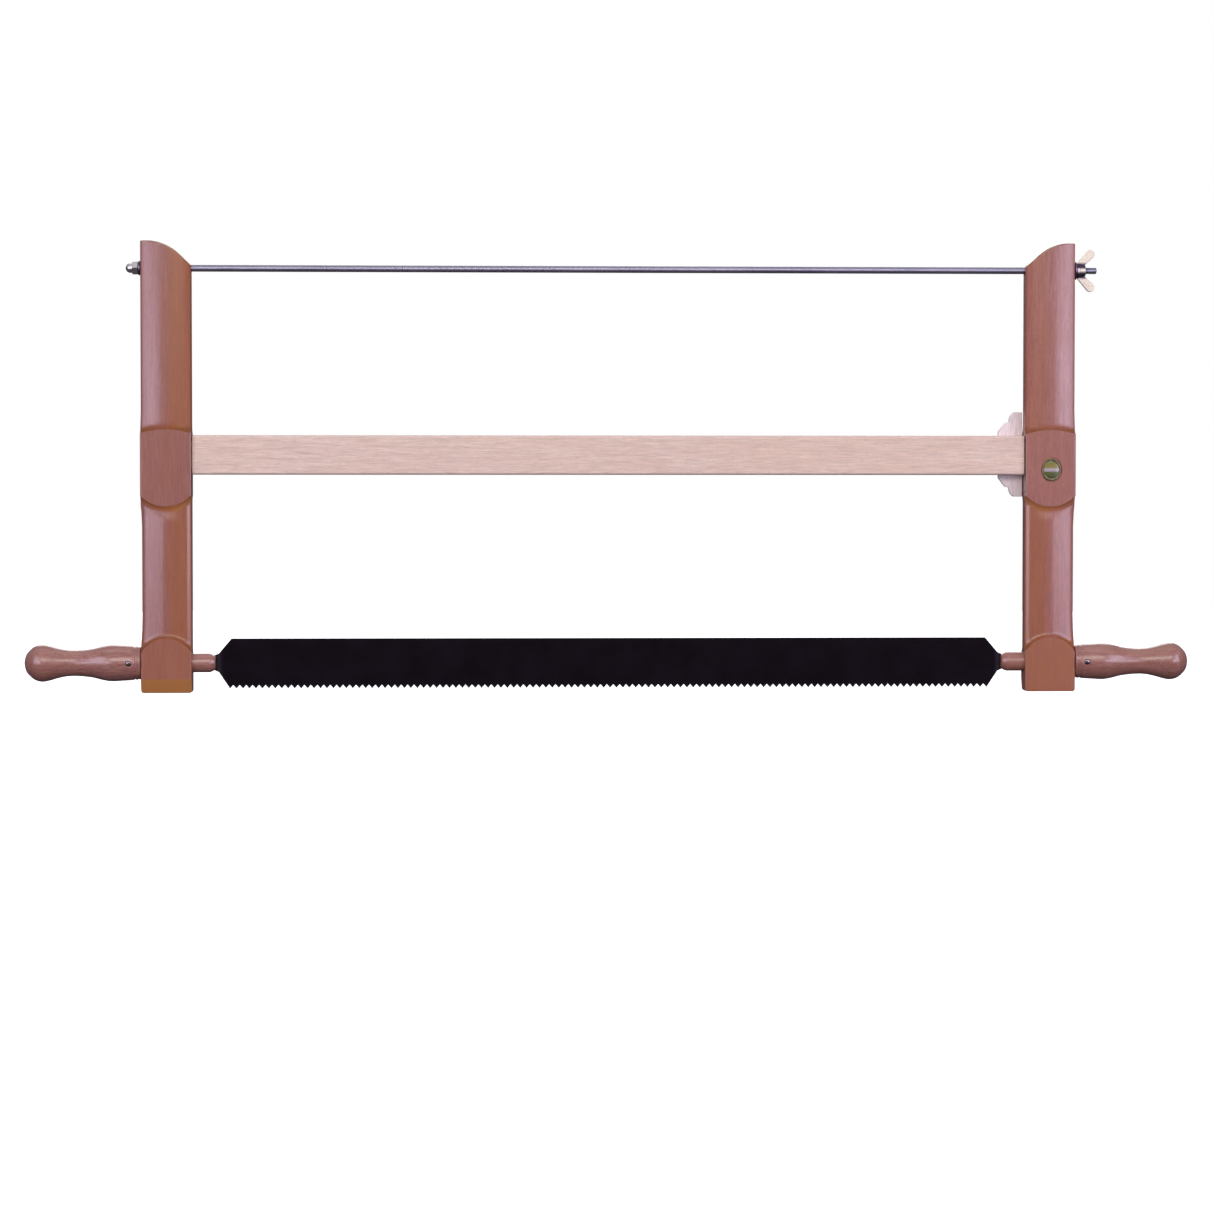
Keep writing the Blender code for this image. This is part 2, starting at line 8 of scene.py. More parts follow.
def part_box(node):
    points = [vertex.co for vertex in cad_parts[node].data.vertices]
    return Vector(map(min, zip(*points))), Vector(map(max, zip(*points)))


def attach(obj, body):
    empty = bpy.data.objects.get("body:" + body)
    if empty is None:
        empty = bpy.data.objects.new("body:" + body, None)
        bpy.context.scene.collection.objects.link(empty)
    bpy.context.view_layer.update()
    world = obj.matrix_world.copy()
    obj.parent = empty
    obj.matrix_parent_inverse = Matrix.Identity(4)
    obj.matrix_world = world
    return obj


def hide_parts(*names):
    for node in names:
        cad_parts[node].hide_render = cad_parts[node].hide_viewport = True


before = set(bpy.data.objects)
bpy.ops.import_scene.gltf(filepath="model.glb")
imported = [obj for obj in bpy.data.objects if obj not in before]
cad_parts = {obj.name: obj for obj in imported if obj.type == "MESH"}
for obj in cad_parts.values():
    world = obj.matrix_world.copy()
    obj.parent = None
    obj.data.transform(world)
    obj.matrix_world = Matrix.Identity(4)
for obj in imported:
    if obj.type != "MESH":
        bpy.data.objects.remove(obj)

# The looks of a bow saw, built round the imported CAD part. X runs along the saw, the front
# faces -Y, Z is up, and sizes are in metres, as in the CAD.

# Arms: distances from an arm's inner face, heights above the ground
ARM_INNER = 0.371
ARM_WIDTH = 0.045
LOWER_SHANK_WIDTH = 0.0438
UPPER_SHANK_WIDTH = 0.0446
ARM_HEIGHT = 0.400
ARM_HALF_DEPTH = 0.012
FOOT_SIDE = 0.046
BLOCK_SIDE = (0.168, 0.236)
SIDE_RUN = 0.014
FOOT_CORNER = 0.0025
TOP_CORNER = 0.0012
TOP_FLAT = 0.004
TOP_RADIUS = 0.0427
BLOCK_TOP = (0.2332, 0.2297)
BLOCK_BOTTOM = (0.1652, 0.1752)
FOOT_TOP = (0.0482, 0.0347)
UPPER_CROWN = (0.0108, 0.0060)
LOWER_CROWN = (0.0105, 0.0085, 0.0065)
LOWER_CHAMFER_AT = 0.85
LOWER_RIDGE = 0.14
LOWER_BULGE = 0.0014
FOOT_CHAMFER = (0.005, 0.012)
ROOF_FADE = 0.014
ROOF_ROWS = (0.014, 0.0125, 0.011, 0.0095)
ROOF_LEAST = 0.25
ROOF_ABOVE_CHAMFER = 0.0006
ARRIS = 0.0012
END_ROUND = 0.0008
CHAMFER_EDGE = 0.0004
COVE_RADIUS = 0.0072
COVE_OFFSETS = (0.0003, 0.0007, 0.0012, 0.0018, 0.0025, 0.0033, 0.0042, 0.0052, 0.0063, 0.0076)

# Painted shade and light on the arms: a cove's share of painted dark shade, its share of painted golden
# light and how far it is matte
DARK_COVE = (1.0, 0.0, 0.005)
SOFT_COVE = (0.6, 0.0, 0.0030)
# Painted golden light in the downward-facing cove under the mid block
GOLDEN_COVE = (0.0, 1.0, 0.0035)
COVE_LEAST_SHADE = 0.25
COVE_FULL_DROP = 0.0030
GOLD_FADE = 0.6
MATTE_START = 1.5
END_GRAIN_SHADE = 0.8
# How far the lighter colour reaches in from the arrises
PALER_ARRIS_REACH = 1.25
# Painted orange shade where the lilac side lamps don't reach: its share on the shanks' inner halves, the
# feet, the blocks and each arm's upper shank
ORANGE_SHADE_HALF = (0.62, 0.34)
ORANGE_SHADE_FOOT = {-1: 0.60, 1: 1.00}
ORANGE_SHADE_LOWER_SHANK = 0.85
ORANGE_SHADE_BLOCK = 0.10
ORANGE_SHADE_UPPER_SHANK = {-1: 0.92, 1: 0.42}
DULL_SHARE = 0.9
DULL_EDGE = (0.008, 0.005)

# Stretcher and plate
STRETCHER_Z = 0.211
STRETCHER_HALF_HEIGHT = 0.0175
STRETCHER_HALF_DEPTH = 0.008
STRETCHER_STATIONS = 33
SHOULDER_RADIUS = 0.200
STRETCHER_ARRIS = 0.0018
TENON = (0.018, 0.008, 0.024)
TENON_ROOT = 0.010
TENON_ARRIS = 0.0006
MORTISE = (0.020, 0.0086, 0.026)
PLATE_FRONT = 0.0046
PLATE_DEPTH = 0.005
PLATE_REACH = 0.0219
PLATE_EDGE_RADIUS = 1.200
PLATE_HALF_HEIGHT = 0.0388
PLATE_RISE = 0.0212
PLATE_STEP = ((0.0160, 0.0292), (0.0123, 0.0302))
PLATE_ROUND = 0.0069
PLATE_LOWER_SHARE = 0.95
PLATE_ARRIS = 0.0006
REBATE_PAST_PLATE = 0.0006
REBATE_PAST_END = 0.0005
REBATE_BACK = 0.02
REBATE_HALF_HEIGHT = 0.03

# Rod and fittings
ROD_Z = 0.376
ROD_RADIUS = 0.003
ROD_BORE = 0.004
THREAD_PITCH = 0.001
THREAD_DEPTH = 0.00045
THREAD_START = 0.380
THREAD_RUNOUT = 0.002
THREAD_STEPS = 6
LEFT_THREAD_END = -0.383
PLAIN_START = -0.3829
PLAIN_STATIONS = 24
ROD_CHAMFER = 0.0006
ROD_SEGMENTS = 28
WASHER_BEVEL = 0.0003
CAP_FLATS = 0.0109
CAP_HEX_LENGTH = 0.005
CAP_LENGTH = 0.011
CAP_DOME_RADIUS = 0.0043
CAP_HOLE_DEPTH = 0.0075
CAP_ARRIS = 0.00015
WING_HUB_LENGTH = 0.0078
WING_HUB_PROFILE = (
    (0.0, 0.0061), (0.0004, 0.0065), (0.0016, 0.0063), (0.0030, 0.0056), (0.0072, 0.0053), (0.0078, 0.0047))
WING_ROOT = (0.0037, 0.0060, 0.0030)
WING_TIP = (0.0122, 0.0147, 0.0040)
WING_DEPTH = 0.0028
WING_VOXEL = 0.00022

# Blade, handles and pins
BLADE_Z = 0.0265
BLADE_HALF_THICKNESS = 0.0004
BLADE_TOP = 0.048
TOOTH_TIP_Z = 0.0035
TOOTH_DEPTH = 0.0032
TOOTH_COUNT = 118
TOOTH_SET = 0.00025
TEETH_HALF_LENGTH = 0.338
BLADE_TOP_HALF_LENGTH = 0.3366
NECK = (0.3478, 0.0083)
TANG = (0.352, 0.0065)
TANG_END = 0.4345
TANG_STATION = 0.3905
NOSE_STATION = 0.3425
BLADE_SHARES = (0.0, 0.1, 0.5, 0.93, 1.0)
BLADE_BACK_SHARE = 0.35
TOOTH_TIP_SHARE = 0.8
SPINDLE_RADIUS = 0.0085
SPINDLE_BORE = 0.0095
SPINDLE_END = 0.3505
SPINDLE_NOSE = (
    (0.0, 0.0), (0.0, 0.0050), (0.0003, 0.0058), (0.0022, 0.0073), (0.0045, 0.0083), (0.0055, 0.0085))
SPINDLE_PLAIN_START = 0.360
KERF_WIDTH = 0.0014
KERF_END = 0.436
KERF_HALF_HEIGHT = 0.02
PIN_AT = 0.4265
PIN_BORE = 0.0025
PIN_RIM = ((0.0, 0.0), (0.00003, 0.45), (0.00012, 0.75), (0.0003, 0.93), (0.0006, 1.0))
HANDLE_FACE = 0.416
HANDLE_OUTLINE = (
    (0.0003, 0.0134), (0.0015, 0.0146), (0.0075, 0.0153), (0.0175, 0.0159), (0.0266, 0.0163),
    (0.0345, 0.0151), (0.0424, 0.0131), (0.0503, 0.0120), (0.0589, 0.0115), (0.0668, 0.0120),
    (0.0746, 0.0137), (0.0809, 0.0155), (0.0873, 0.0166), (0.0935, 0.0152), (0.0982, 0.0117),
    (0.1018, 0.0071), (0.1035, 0.0),
)
GROOVES = (0.0027, 0.0055)
GROOVE = (0.00035, 0.0002)
GROOVE_LIFT = 0.00004
GROOVE_FLOOR = 0.85

# Badge
BADGE_AT = (0.394, 0.198)
BADGE_RECESS = (0.0098, 0.0113, 0.0012)
BADGE_RIM = (0.0087, 0.0101, 0.0009)
BADGE_DISC = (0.0066, 0.0076, 0.0006)
RIM_PROFILE = (
    (0.0, 0.0003), (0.0002, 0.0001), (0.0005, 0.0), (0.0008, 0.00005), (0.00095, 0.0003),
    (0.0011, 0.0003), (0.00125, 0.00008), (0.0015, 0.00003))
DISC_EDGE = 0.00022
DISC_CROWN = 0.00020
DISC_SHARES = (0.97, 0.90, 0.75, 0.55, 0.3, 0.08)

# Gap left between neighbours, and how far cutters reach past what they cut
GAP = 0.0003
CUT_MARGIN = 0.003
LONG_MARGIN = 0.03
ROUND_SEGMENTS = 96

# Painted colours on the wood: orange shade away from the lilac side lamps; the cut chamfers' colour mixed
# with painted golden light, which also fills the cove under the mid block; dark shade in the coves and on
# the end grain
ORANGE_SHADE_WOOD = (0.355, 0.112, 0.026)
CUT_AND_GOLDEN_LIGHT_WOOD = (0.520, 0.225, 0.062)
COVE_SHADE_AND_END_GRAIN_WOOD = (0.205, 0.080, 0.026)

# Light of the room below and above, where the lamps aren't
ROOM_LOW = (0.055, 0.050, 0.060)
ROOM_HIGH = (0.30, 0.30, 0.34)
ROOM_HIGH_AT = 0.6

# Lamps: place, what they face, size, watts and colour
MIDDLE = (0, 0, 0.2)
LILAC = (0.86, 0.78, 1.0)
WARM_WHITE = (1.0, 0.94, 0.86)
SOFT_WHITE = (1.0, 0.98, 0.96)
LAMPS = {
    "left_softbox": ((-2.2, -2.1, 0.9), (-0.3, 0, 0.2), (1.4, 2.0), 33, LILAC),
    "right_softbox": ((2.4, -2.0, 0.9), (0.3, 0, 0.2), (1.4, 2.0), 36, LILAC),
    "left_strip": ((-1.42, -2.8, 0.3), (-0.35, 0, 0.2), (0.9, 0.62), 9.5, LILAC),
    "right_strip": ((1.65, -2.7, 0.3), (0.35, 0, 0.2), (0.9, 0.62), 11, LILAC),
    "key": ((0, -3.0, 1.35), MIDDLE, (2.2, 1.1), 31, WARM_WHITE),
    "overhead": ((0, -0.2, 2.6), MIDDLE, (3.0, 2.2), 9, SOFT_WHITE),
    "back_fill": ((0, 2.6, 1.4), MIDDLE, (2.6, 1.4), 26, SOFT_WHITE),
}

# Floor and camera
FLOOR_PROFILE = ((-0.004, 2.4), (0.0, 2.4))
FLOOR_GLOW = 0.85
CAMERA_AT = (-0.1396, -3.0843, 0.1680)
CAMERA_ANGLES = (88.286, -0.004, -2.5406)
CAMERA_LENS = 102.65
CAMERA_SENSOR = 36.0
CAMERA_REACH = 100.0


# ---------------------------------------------------------------- mesh helpers

def link_object(name, data, material=None):
    """An object in the scene for a mesh, a lamp or a camera."""
    obj = bpy.data.objects.new(name, data)
    bpy.context.scene.collection.objects.link(obj)
    if material:
        data.materials.append(material)
    return obj


def mesh_object(name, vertices, faces, material=None):
    """A mesh from points and faces, its faces turned outward."""
    mesh = bpy.data.meshes.new(name)
    mesh.from_pydata(vertices, [], faces)
    mesh.validate()
    edit = bmesh.new()
    edit.from_mesh(mesh)
    bmesh.ops.recalc_face_normals(edit, faces=edit.faces)
    edit.to_mesh(mesh)
    edit.free()
    return link_object(name, mesh, material)


def bridge(rows, count):
    """Quads between successive closed rings of the same number of points."""
    faces = []
    for row in range(rows - 1):
        for index in range(count):
            after = (index + 1) % count
            start = row * count
            faces.append((start + index, start + after, start + count + after, start + count + index))
    return faces


def ring_faces(rows, count, closed=False):
    """Bridged rings whose last meets the first, or with a cap at each end."""
    faces = bridge(rows, count)
    last = (rows - 1) * count
    if closed:
        for index in range(count):
            after = (index + 1) % count
            faces.append((last + index, last + after, after, index))
    else:
        faces += [tuple(reversed(range(count))), tuple(range(last, last + count))]
    return faces


def apply_modifiers(obj):
    """Keeps the mesh as its modifiers leave it."""
    depsgraph = bpy.context.evaluated_depsgraph_get()
    mesh = bpy.data.meshes.new_from_object(obj.evaluated_get(depsgraph), depsgraph=depsgraph)
    obj.modifiers.clear()
    old = obj.data
    obj.data = mesh
    bpy.data.meshes.remove(old)


def combine(obj, tool, operation="DIFFERENCE"):
    """Cuts or joins another mesh, which is then removed."""
    boolean = obj.modifiers.new("cut", "BOOLEAN")
    boolean.operation = operation
    boolean.solver = "EXACT"
    boolean.object = tool
    apply_modifiers(obj)
    bpy.data.objects.remove(tool)


def soften(obj, width, segments=2, angle=35):
    """Rounds the edges that are sharper than an angle in degrees."""
    bevel = obj.modifiers.new("arris", "BEVEL")
    bevel.width = width
    bevel.segments = segments
    bevel.limit_method = "ANGLE"
    bevel.angle_limit = math.radians(angle)
    bevel.harden_normals = False
    apply_modifiers(obj)


def smooth(obj, angle=32):
    """Smooth shading with crisp edges; large flat faces set the normals beside them."""
    for polygon in obj.data.polygons:
        polygon.use_smooth = True
    obj.data.set_sharp_from_angle(angle=math.radians(angle))
    weighted = obj.modifiers.new("weighted_normals", "WEIGHTED_NORMAL")
    weighted.keep_sharp = True


def lathe(name, profile, material=None, axis="X", centre=(0, 0, 0), segments=ROUND_SEGMENTS,
          closed=False):
    """A body turned from (distance along the axis, radius) pairs."""
    vertices = []
    for along, radius in profile:
        for step in range(segments):
            angle = math.tau * step / segments
            a, b = radius * math.cos(angle), radius * math.sin(angle)
            point = {"X": (along, a, b), "Y": (b, along, a), "Z": (a, b, along)}[axis]
            vertices.append(Vector(point) + Vector(centre))
    obj = mesh_object(name, vertices, ring_faces(len(profile), segments, closed), material)
    edit = bmesh.new()
    edit.from_mesh(obj.data)
    bmesh.ops.remove_doubles(edit, verts=edit.verts, dist=1e-6)
    bmesh.ops.recalc_face_normals(edit, faces=edit.faces)
    edit.to_mesh(obj.data)
    edit.free()
    return obj


def turned_on_rod(name, profile, material=None, segments=64, closed=False):
    """A lathed body on the rod's axis."""
    return lathe(name, profile, material, centre=(0, 0, ROD_Z), segments=segments, closed=closed)


def slab(name, outline, front, back, material=None):
    """A flat outline in XZ, as thick as from front to back along Y."""
    count = len(outline)
    vertices = [(x, front, z) for x, z in outline] + [(x, back, z) for x, z in outline]
    faces = [tuple(range(count)), tuple(reversed(range(count, 2 * count)))]
    for index in range(count):
        after = (index + 1) % count
        faces.append((index, index + count, after + count, after))
    return mesh_object(name, vertices, faces, material)


def block(name, low, high):
    """A box between two corners."""
    edit = bmesh.new()
    bmesh.ops.create_cube(edit, size=1.0)
    size = Vector(high) - Vector(low)
    bmesh.ops.scale(edit, vec=size, verts=edit.verts)
    bmesh.ops.translate(edit, vec=(Vector(high) + Vector(low)) / 2, verts=edit.verts)
    mesh = bpy.data.meshes.new(name)
    edit.to_mesh(mesh)
    edit.free()
    return link_object(name, mesh)


def arc(centre, radius, start, end, steps):
    """Points along an arc whose ends are given in degrees."""
    points = []
    for step in range(steps + 1):
        angle = math.radians(start + (end - start) * step / steps)
        points.append((centre[0] + radius * math.cos(angle), centre[1] + radius * math.sin(angle)))
    return points


def oval(half_width, half_height):
    """Points round an oval at the badge's place, as (x, z) pairs."""
    circle = arc((0, 0), 1, 0, 360, ROUND_SEGMENTS)[:-1]
    return [(BADGE_AT[0] + half_width * x, BADGE_AT[1] + half_height * z) for x, z in circle]


def spread(start, end, count):
    """Evenly spaced values, both ends included."""
    return [start + (end - start) * index / (count - 1) for index in range(count)]


def smoothstep(value):
    """Eases from 0 to 1 as the value does, and stays there outside."""
    value = min(1.0, max(0.0, value))
    return value * value * (3 - 2 * value)


def set_attribute(obj, name, values):
    """One number for each point, which the materials read."""
    attribute = obj.data.attributes.new(name, "FLOAT", "POINT")
    attribute.data.foreach_set("value", values)


def place(obj, body, slot, *nodes):
    """Gives a piece its body and hides the CAD nodes it replaces; the slot argument is not used."""
    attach(obj, body)
    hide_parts(*nodes)
    return obj


# ---------------------------------------------------------------- materials

class Nodes:
    """Short calls for building one material's node tree."""

    def __init__(self, name):
        self.material = bpy.data.materials.new(name)
        self.material.use_nodes = True
        self.tree = self.material.node_tree
        self.shader = self.tree.nodes["Principled BSDF"]
        self.coords = self.add("ShaderNodeTexCoord").outputs["Object"]

    def add(self, kind, **settings):
        node = self.tree.nodes.new(kind)
        for key, value in settings.items():
            setattr(node, key, value)
        return node

    def feed(self, socket, value):
        if isinstance(value, bpy.types.NodeSocket):
            self.tree.links.new(value, socket)
        elif isinstance(value, tuple) and len(value) == 3 and socket.type == "RGBA":
            socket.default_value = (*value, 1.0)
        else:
            socket.default_value = value

    def stretched(self, scale, source=None):
        mapping = self.add("ShaderNodeMapping")
        self.feed(mapping.inputs["Vector"], source or self.coords)
        mapping.inputs["Scale"].default_value = scale
        return mapping.outputs["Vector"]

    def noise(self, vector, scale, detail=3.0, roughness=0.55, distortion=0.0):
        node = self.add("ShaderNodeTexNoise")
        self.feed(node.inputs["Vector"], vector)
        node.inputs["Scale"].default_value = scale
        node.inputs["Detail"].default_value = detail
        node.inputs["Roughness"].default_value = roughness
        node.inputs["Distortion"].default_value = distortion
        return node.outputs["Fac"]

    def ramp(self, value, stops):
        node = self.add("ShaderNodeValToRGB")
        self.feed(node.inputs["Fac"], value)
        elements = node.color_ramp.elements
        while len(elements) < len(stops):
            elements.new(0.5)
        for element, (position, color) in zip(elements, stops):
            element.position = position
            element.color = (*color, 1.0) if isinstance(color, tuple) else (color, color, color, 1.0)
        return node.outputs["Color"]

    def times(self, first, second):
        return self.math("MULTIPLY", first, second)

    def mix(self, share, first, second, blend="MIX"):
        node = self.add("ShaderNodeMix", data_type="RGBA", blend_type=blend)
        self.feed(node.inputs[0], share)
        self.feed(node.inputs[6], first)
        self.feed(node.inputs[7], second)
        return node.outputs[2]

    def math(self, operation, first, second=0.0):
        node = self.add("ShaderNodeMath", operation=operation)
        self.feed(node.inputs[0], first)
        self.feed(node.inputs[1], second)
        return node.outputs[0]

    def attribute(self, name):
        return self.add("ShaderNodeAttribute", attribute_name=name).outputs["Fac"]

    def axis(self, index):
        node = self.add("ShaderNodeSeparateXYZ")
        self.feed(node.inputs[0], self.coords)
        return node.outputs[index]

    def bump(self, height, distance, strength=1.0, below=None):
        node = self.add("ShaderNodeBump")
        self.feed(node.inputs["Height"], height)
        node.inputs["Distance"].default_value = distance
        node.inputs["Strength"].default_value = strength
        if below:
            self.feed(node.inputs["Normal"], below)
        return node.outputs["Normal"]

    def finish(self, color, roughness, normal=None, **fixed):
        self.feed(self.shader.inputs["Base Color"], color)
        self.feed(self.shader.inputs["Roughness"], roughness)
        if normal:
            self.feed(self.shader.inputs["Normal"], normal)
        for key, value in fixed.items():
            self.feed(self.shader.inputs[key.replace("_", " ")], value)
        return self.material


def wood(name, along, tones, fleck, edge, cove_shade_and_end_grain, gloss, coat=0.20):
    """Beech: fine streaks along the grain, short ray flecks, lighter arrises, painted orange shade, painted
    dark shade in the coves, darker end grain, a cut chamfer and a cove with painted golden light.
    """
    nodes = Nodes(name)

    def grain(share):
        return nodes.stretched(tuple(share if axis == along else 1.0 for axis in "XYZ"))

    streak = nodes.noise(grain(0.07), scale=430.0, detail=4.0, roughness=0.62, distortion=0.4)
    color = nodes.ramp(streak, [(0.30, tones[0]), (0.5, tones[1]), (0.72, tones[2])])
    cloud = nodes.noise(grain(0.35), scale=26.0, detail=2.0, roughness=0.5, distortion=0.6)
    patch = nodes.ramp(cloud, [(0.38, 0.0), (0.66, 1.0)])
    color = nodes.mix(nodes.times(patch, 0.55), color, tones[3])
    fibre = nodes.noise(grain(0.035), scale=2300.0, roughness=0.6)
    shade = nodes.ramp(fibre, [(0.25, 0.74), (0.75, 1.18)])
    color = nodes.mix(1.0, color, shade, "MULTIPLY")
    specks = nodes.noise(grain(0.16), scale=1350.0, detail=1.0, roughness=0.5)
    rays = nodes.ramp(specks, [(0.60, 0.0), (0.70, 1.0)])
    color = nodes.mix(nodes.times(rays, 0.42), color, fleck)
    # Lighter colour along the rounded arrises.
    lighter_band = nodes.times(nodes.attribute("edge"), nodes.ramp(streak, [(0.3, 0.35), (0.7, 0.9)]))
    color = nodes.mix(lighter_band, color, edge)
    # Painted orange shade where the lilac side lamps don't reach.
    orange_shade = nodes.times(nodes.attribute("orange_shade"), nodes.ramp(streak, [(0.3, 0.45), (0.7, 0.85)]))
    color = nodes.mix(orange_shade, color, ORANGE_SHADE_WOOD)
    # Painted dark shade in the coves, darker where they are deeper, and darker end grain at the arm's top.
    color = nodes.mix(nodes.times(nodes.attribute("cove_shade_and_end_grain"), 0.85), color, cove_shade_and_end_grain)
    # Painted golden light on the cut foot chamfer, over its own colour, and in the cove under the mid block.
    color = nodes.mix(nodes.times(nodes.attribute("cut"), 0.85), color, CUT_AND_GOLDEN_LIGHT_WOOD)
    matte = nodes.attribute("matte")
    varnish = nodes.math("SUBTRACT", 0.85, nodes.times(matte, 0.85))
    shine = nodes.math("SUBTRACT", 0.5, nodes.times(matte, 0.45))
    roughness = nodes.ramp(nodes.mix(0.4, fibre, patch), [(0.2, gloss - 0.05), (0.8, gloss + 0.10)])
    normal = nodes.bump(nodes.mix(0.35, fibre, rays), distance=0.00006, strength=0.55)
    return nodes.finish(
        color, roughness, normal, Coat_Weight=varnish, Coat_Roughness=coat, Specular_IOR_Level=shine,
        IOR=1.5)


def steel(name, tone, stain, roughness, along, stained=0.3):
    """Drawn or turned metal: fine lines along one axis and faint stains."""
    nodes = Nodes(name)
    drawn = nodes.stretched(tuple(0.05 if axis == along else 1.0 for axis in "XYZ"))
    lines = nodes.noise(drawn, scale=2600.0)
    cloud = nodes.noise(nodes.coords, scale=210.0, detail=4.0, roughness=0.6)
    stains = nodes.ramp(cloud, [(0.48, 0.0), (0.72, 1.0)])
    color = nodes.mix(nodes.times(stains, stained), tone, stain)
    color = nodes.mix(1.0, color, nodes.ramp(lines, [(0.3, 0.90), (0.7, 1.06)]), "MULTIPLY")
    rough = nodes.ramp(nodes.mix(0.3, lines, stains), [(0.2, roughness - 0.04), (0.8, roughness + 0.08)])
    normal = nodes.bump(lines, distance=0.00002, strength=0.25)
    return nodes.finish(color, rough, normal, Metallic=1.0)


def drawn_rod():
    """Drawn rod: smooth, with slow changes of tone along it."""
    nodes = Nodes("rod_steel")
    slow = nodes.noise(nodes.stretched((0.2, 1.0, 1.0)), scale=60.0, detail=2.0)
    color = nodes.ramp(slow, [(0.35, (0.32, 0.31, 0.41)), (0.65, (0.38, 0.37, 0.47))])
    rough = nodes.ramp(slow, [(0.3, 0.40), (0.7, 0.46)])
    return nodes.finish(color, rough, nodes.bump(slow, distance=0.00001, strength=0.1), Metallic=1.0)


def blade_steel():
    """Blackened spring steel, with a painted highlight: a little brighter where the spindle grips it."""
    nodes = Nodes("blackened_blade")
    rolled = nodes.noise(nodes.stretched((0.03, 1.0, 1.0)), scale=900.0)
    cloud = nodes.noise(nodes.coords, scale=38.0, detail=4.0, roughness=0.6)
    color = nodes.ramp(cloud, [(0.35, (0.0036, 0.0020, 0.0042)), (0.68, (0.0066, 0.0042, 0.0072))])
    distance = nodes.math("ABSOLUTE", nodes.axis(0))
    # Painted highlight: a lighter band across the neck next to the spindle.
    lighter_band = nodes.ramp(nodes.times(distance, 2.0), [
        (0.6900, 0.0), (0.6965, 0.55), (0.7030, 0.0)])
    color = nodes.mix(lighter_band, color, (0.055, 0.045, 0.062))
    worn = nodes.ramp(nodes.axis(2), [(0.0036, 1.0), (0.0052, 0.0)])
    color = nodes.mix(nodes.times(worn, 0.45), color, (0.030, 0.024, 0.040))
    rough = nodes.ramp(nodes.mix(0.5, rolled, cloud), [(0.3, 0.42), (0.7, 0.60)])
    normal = nodes.bump(rolled, distance=0.00001, strength=0.4)
    return nodes.finish(color, rough, normal, Specular_IOR_Level=0.05)


def cast_metal():
    """Die-cast, lightly tumbled: pale cream on the faces, grainy, darker in the pits, and a painted dark
    reflection on the hub above and below the rod.
    """
    nodes = Nodes("cast_wing")
    grain = nodes.noise(nodes.coords, scale=1500.0, detail=4.0, roughness=0.6)
    pits = nodes.ramp(nodes.noise(nodes.coords, scale=620.0), [(0.36, 1.0), (0.47, 0.0)])
    color = nodes.ramp(grain, [(0.3, (0.60, 0.54, 0.44)), (0.7, (0.72, 0.67, 0.56))])
    color = nodes.mix(nodes.times(pits, 0.4), color, (0.34, 0.25, 0.22))
    # Painted dark reflection: a dark purple band on the hub above and below the rod.
    from_axis = nodes.math("ABSOLUTE", nodes.math("SUBTRACT", nodes.axis(2), ROD_Z))
    tarnish_and_dark_reflection = nodes.ramp(nodes.times(from_axis, 100.0), [
        (0.16, 0.0), (0.27, 1.0), (0.62, 1.0), (0.76, 0.0)])
    color = nodes.mix(nodes.times(tarnish_and_dark_reflection, 0.92), color, (0.045, 0.022, 0.075))
    rough = nodes.ramp(grain, [(0.3, 0.34), (0.7, 0.50)])
    height = nodes.mix(0.4, grain, nodes.ramp(pits, [(0.0, 1.0), (1.0, 0.0)]))
    normal = nodes.bump(height, distance=0.00008, strength=0.5)
    return nodes.finish(color, rough, normal, Metallic=0.85)


def badge_rim_metal():
    """Bronze, dark where it is tarnished."""
    nodes = Nodes("badge_bronze")
    tarnish_and_dark_reflection = nodes.noise(nodes.coords, scale=900.0, detail=4.0, roughness=0.6)
    color = nodes.ramp(tarnish_and_dark_reflection, [
        (0.35, (0.085, 0.075, 0.045)), (0.6, (0.27, 0.25, 0.16)), (0.75, (0.40, 0.38, 0.28))])
    rough = nodes.ramp(tarnish_and_dark_reflection, [(0.3, 0.50), (0.7, 0.28)])
    normal = nodes.bump(tarnish_and_dark_reflection, distance=0.00004, strength=0.5)
    return nodes.finish(color, rough, normal, Metallic=0.9)


def badge_field():
    """Two enamel fields with a plain pale band between them."""
    nodes = Nodes("badge_enamel")
    above = nodes.math("SUBTRACT", nodes.axis(2), BADGE_AT[1] - BADGE_DISC[1])
    height = nodes.times(above, 0.5 / BADGE_DISC[1])
    color = nodes.ramp(height, [
        (0.0, (0.050, 0.062, 0.016)), (0.38, (0.125, 0.145, 0.032)), (0.42, (0.42, 0.38, 0.40)),
        (0.57, (0.46, 0.42, 0.44)), (0.61, (0.31, 0.25, 0.045)), (1.0, (0.17, 0.17, 0.030))])
    speck = nodes.noise(nodes.coords, scale=1700.0, roughness=0.6)
    color = nodes.mix(1.0, color, nodes.ramp(speck, [(0.3, 0.75), (0.7, 1.15)]), "MULTIPLY")
    rough = nodes.ramp(speck, [(0.3, 0.18), (0.7, 0.32)])
    normal = nodes.bump(speck, distance=0.00003, strength=0.35)
    return nodes.finish(color, rough, normal, Coat_Weight=0.6, Coat_Roughness=0.12)


def floor_paper():
    """Pale studio paper, lit from within a little so that it stays even."""
    nodes = Nodes("pale_floor")
    fibre = nodes.noise(nodes.coords, scale=55.0, detail=4.0, roughness=0.6)
    color = nodes.ramp(fibre, [(0.3, (0.86, 0.86, 0.87)), (0.7, (0.89, 0.89, 0.90))])
    rough = nodes.ramp(fibre, [(0.3, 0.85), (0.7, 0.95)])
    normal = nodes.bump(fibre, distance=0.0002, strength=0.2)
    return nodes.finish(
        color, rough, normal, Specular_IOR_Level=0.1, Emission_Color=(1.0, 1.0, 1.0),
        Emission_Strength=FLOOR_GLOW)


# ---------------------------------------------------------------- arms

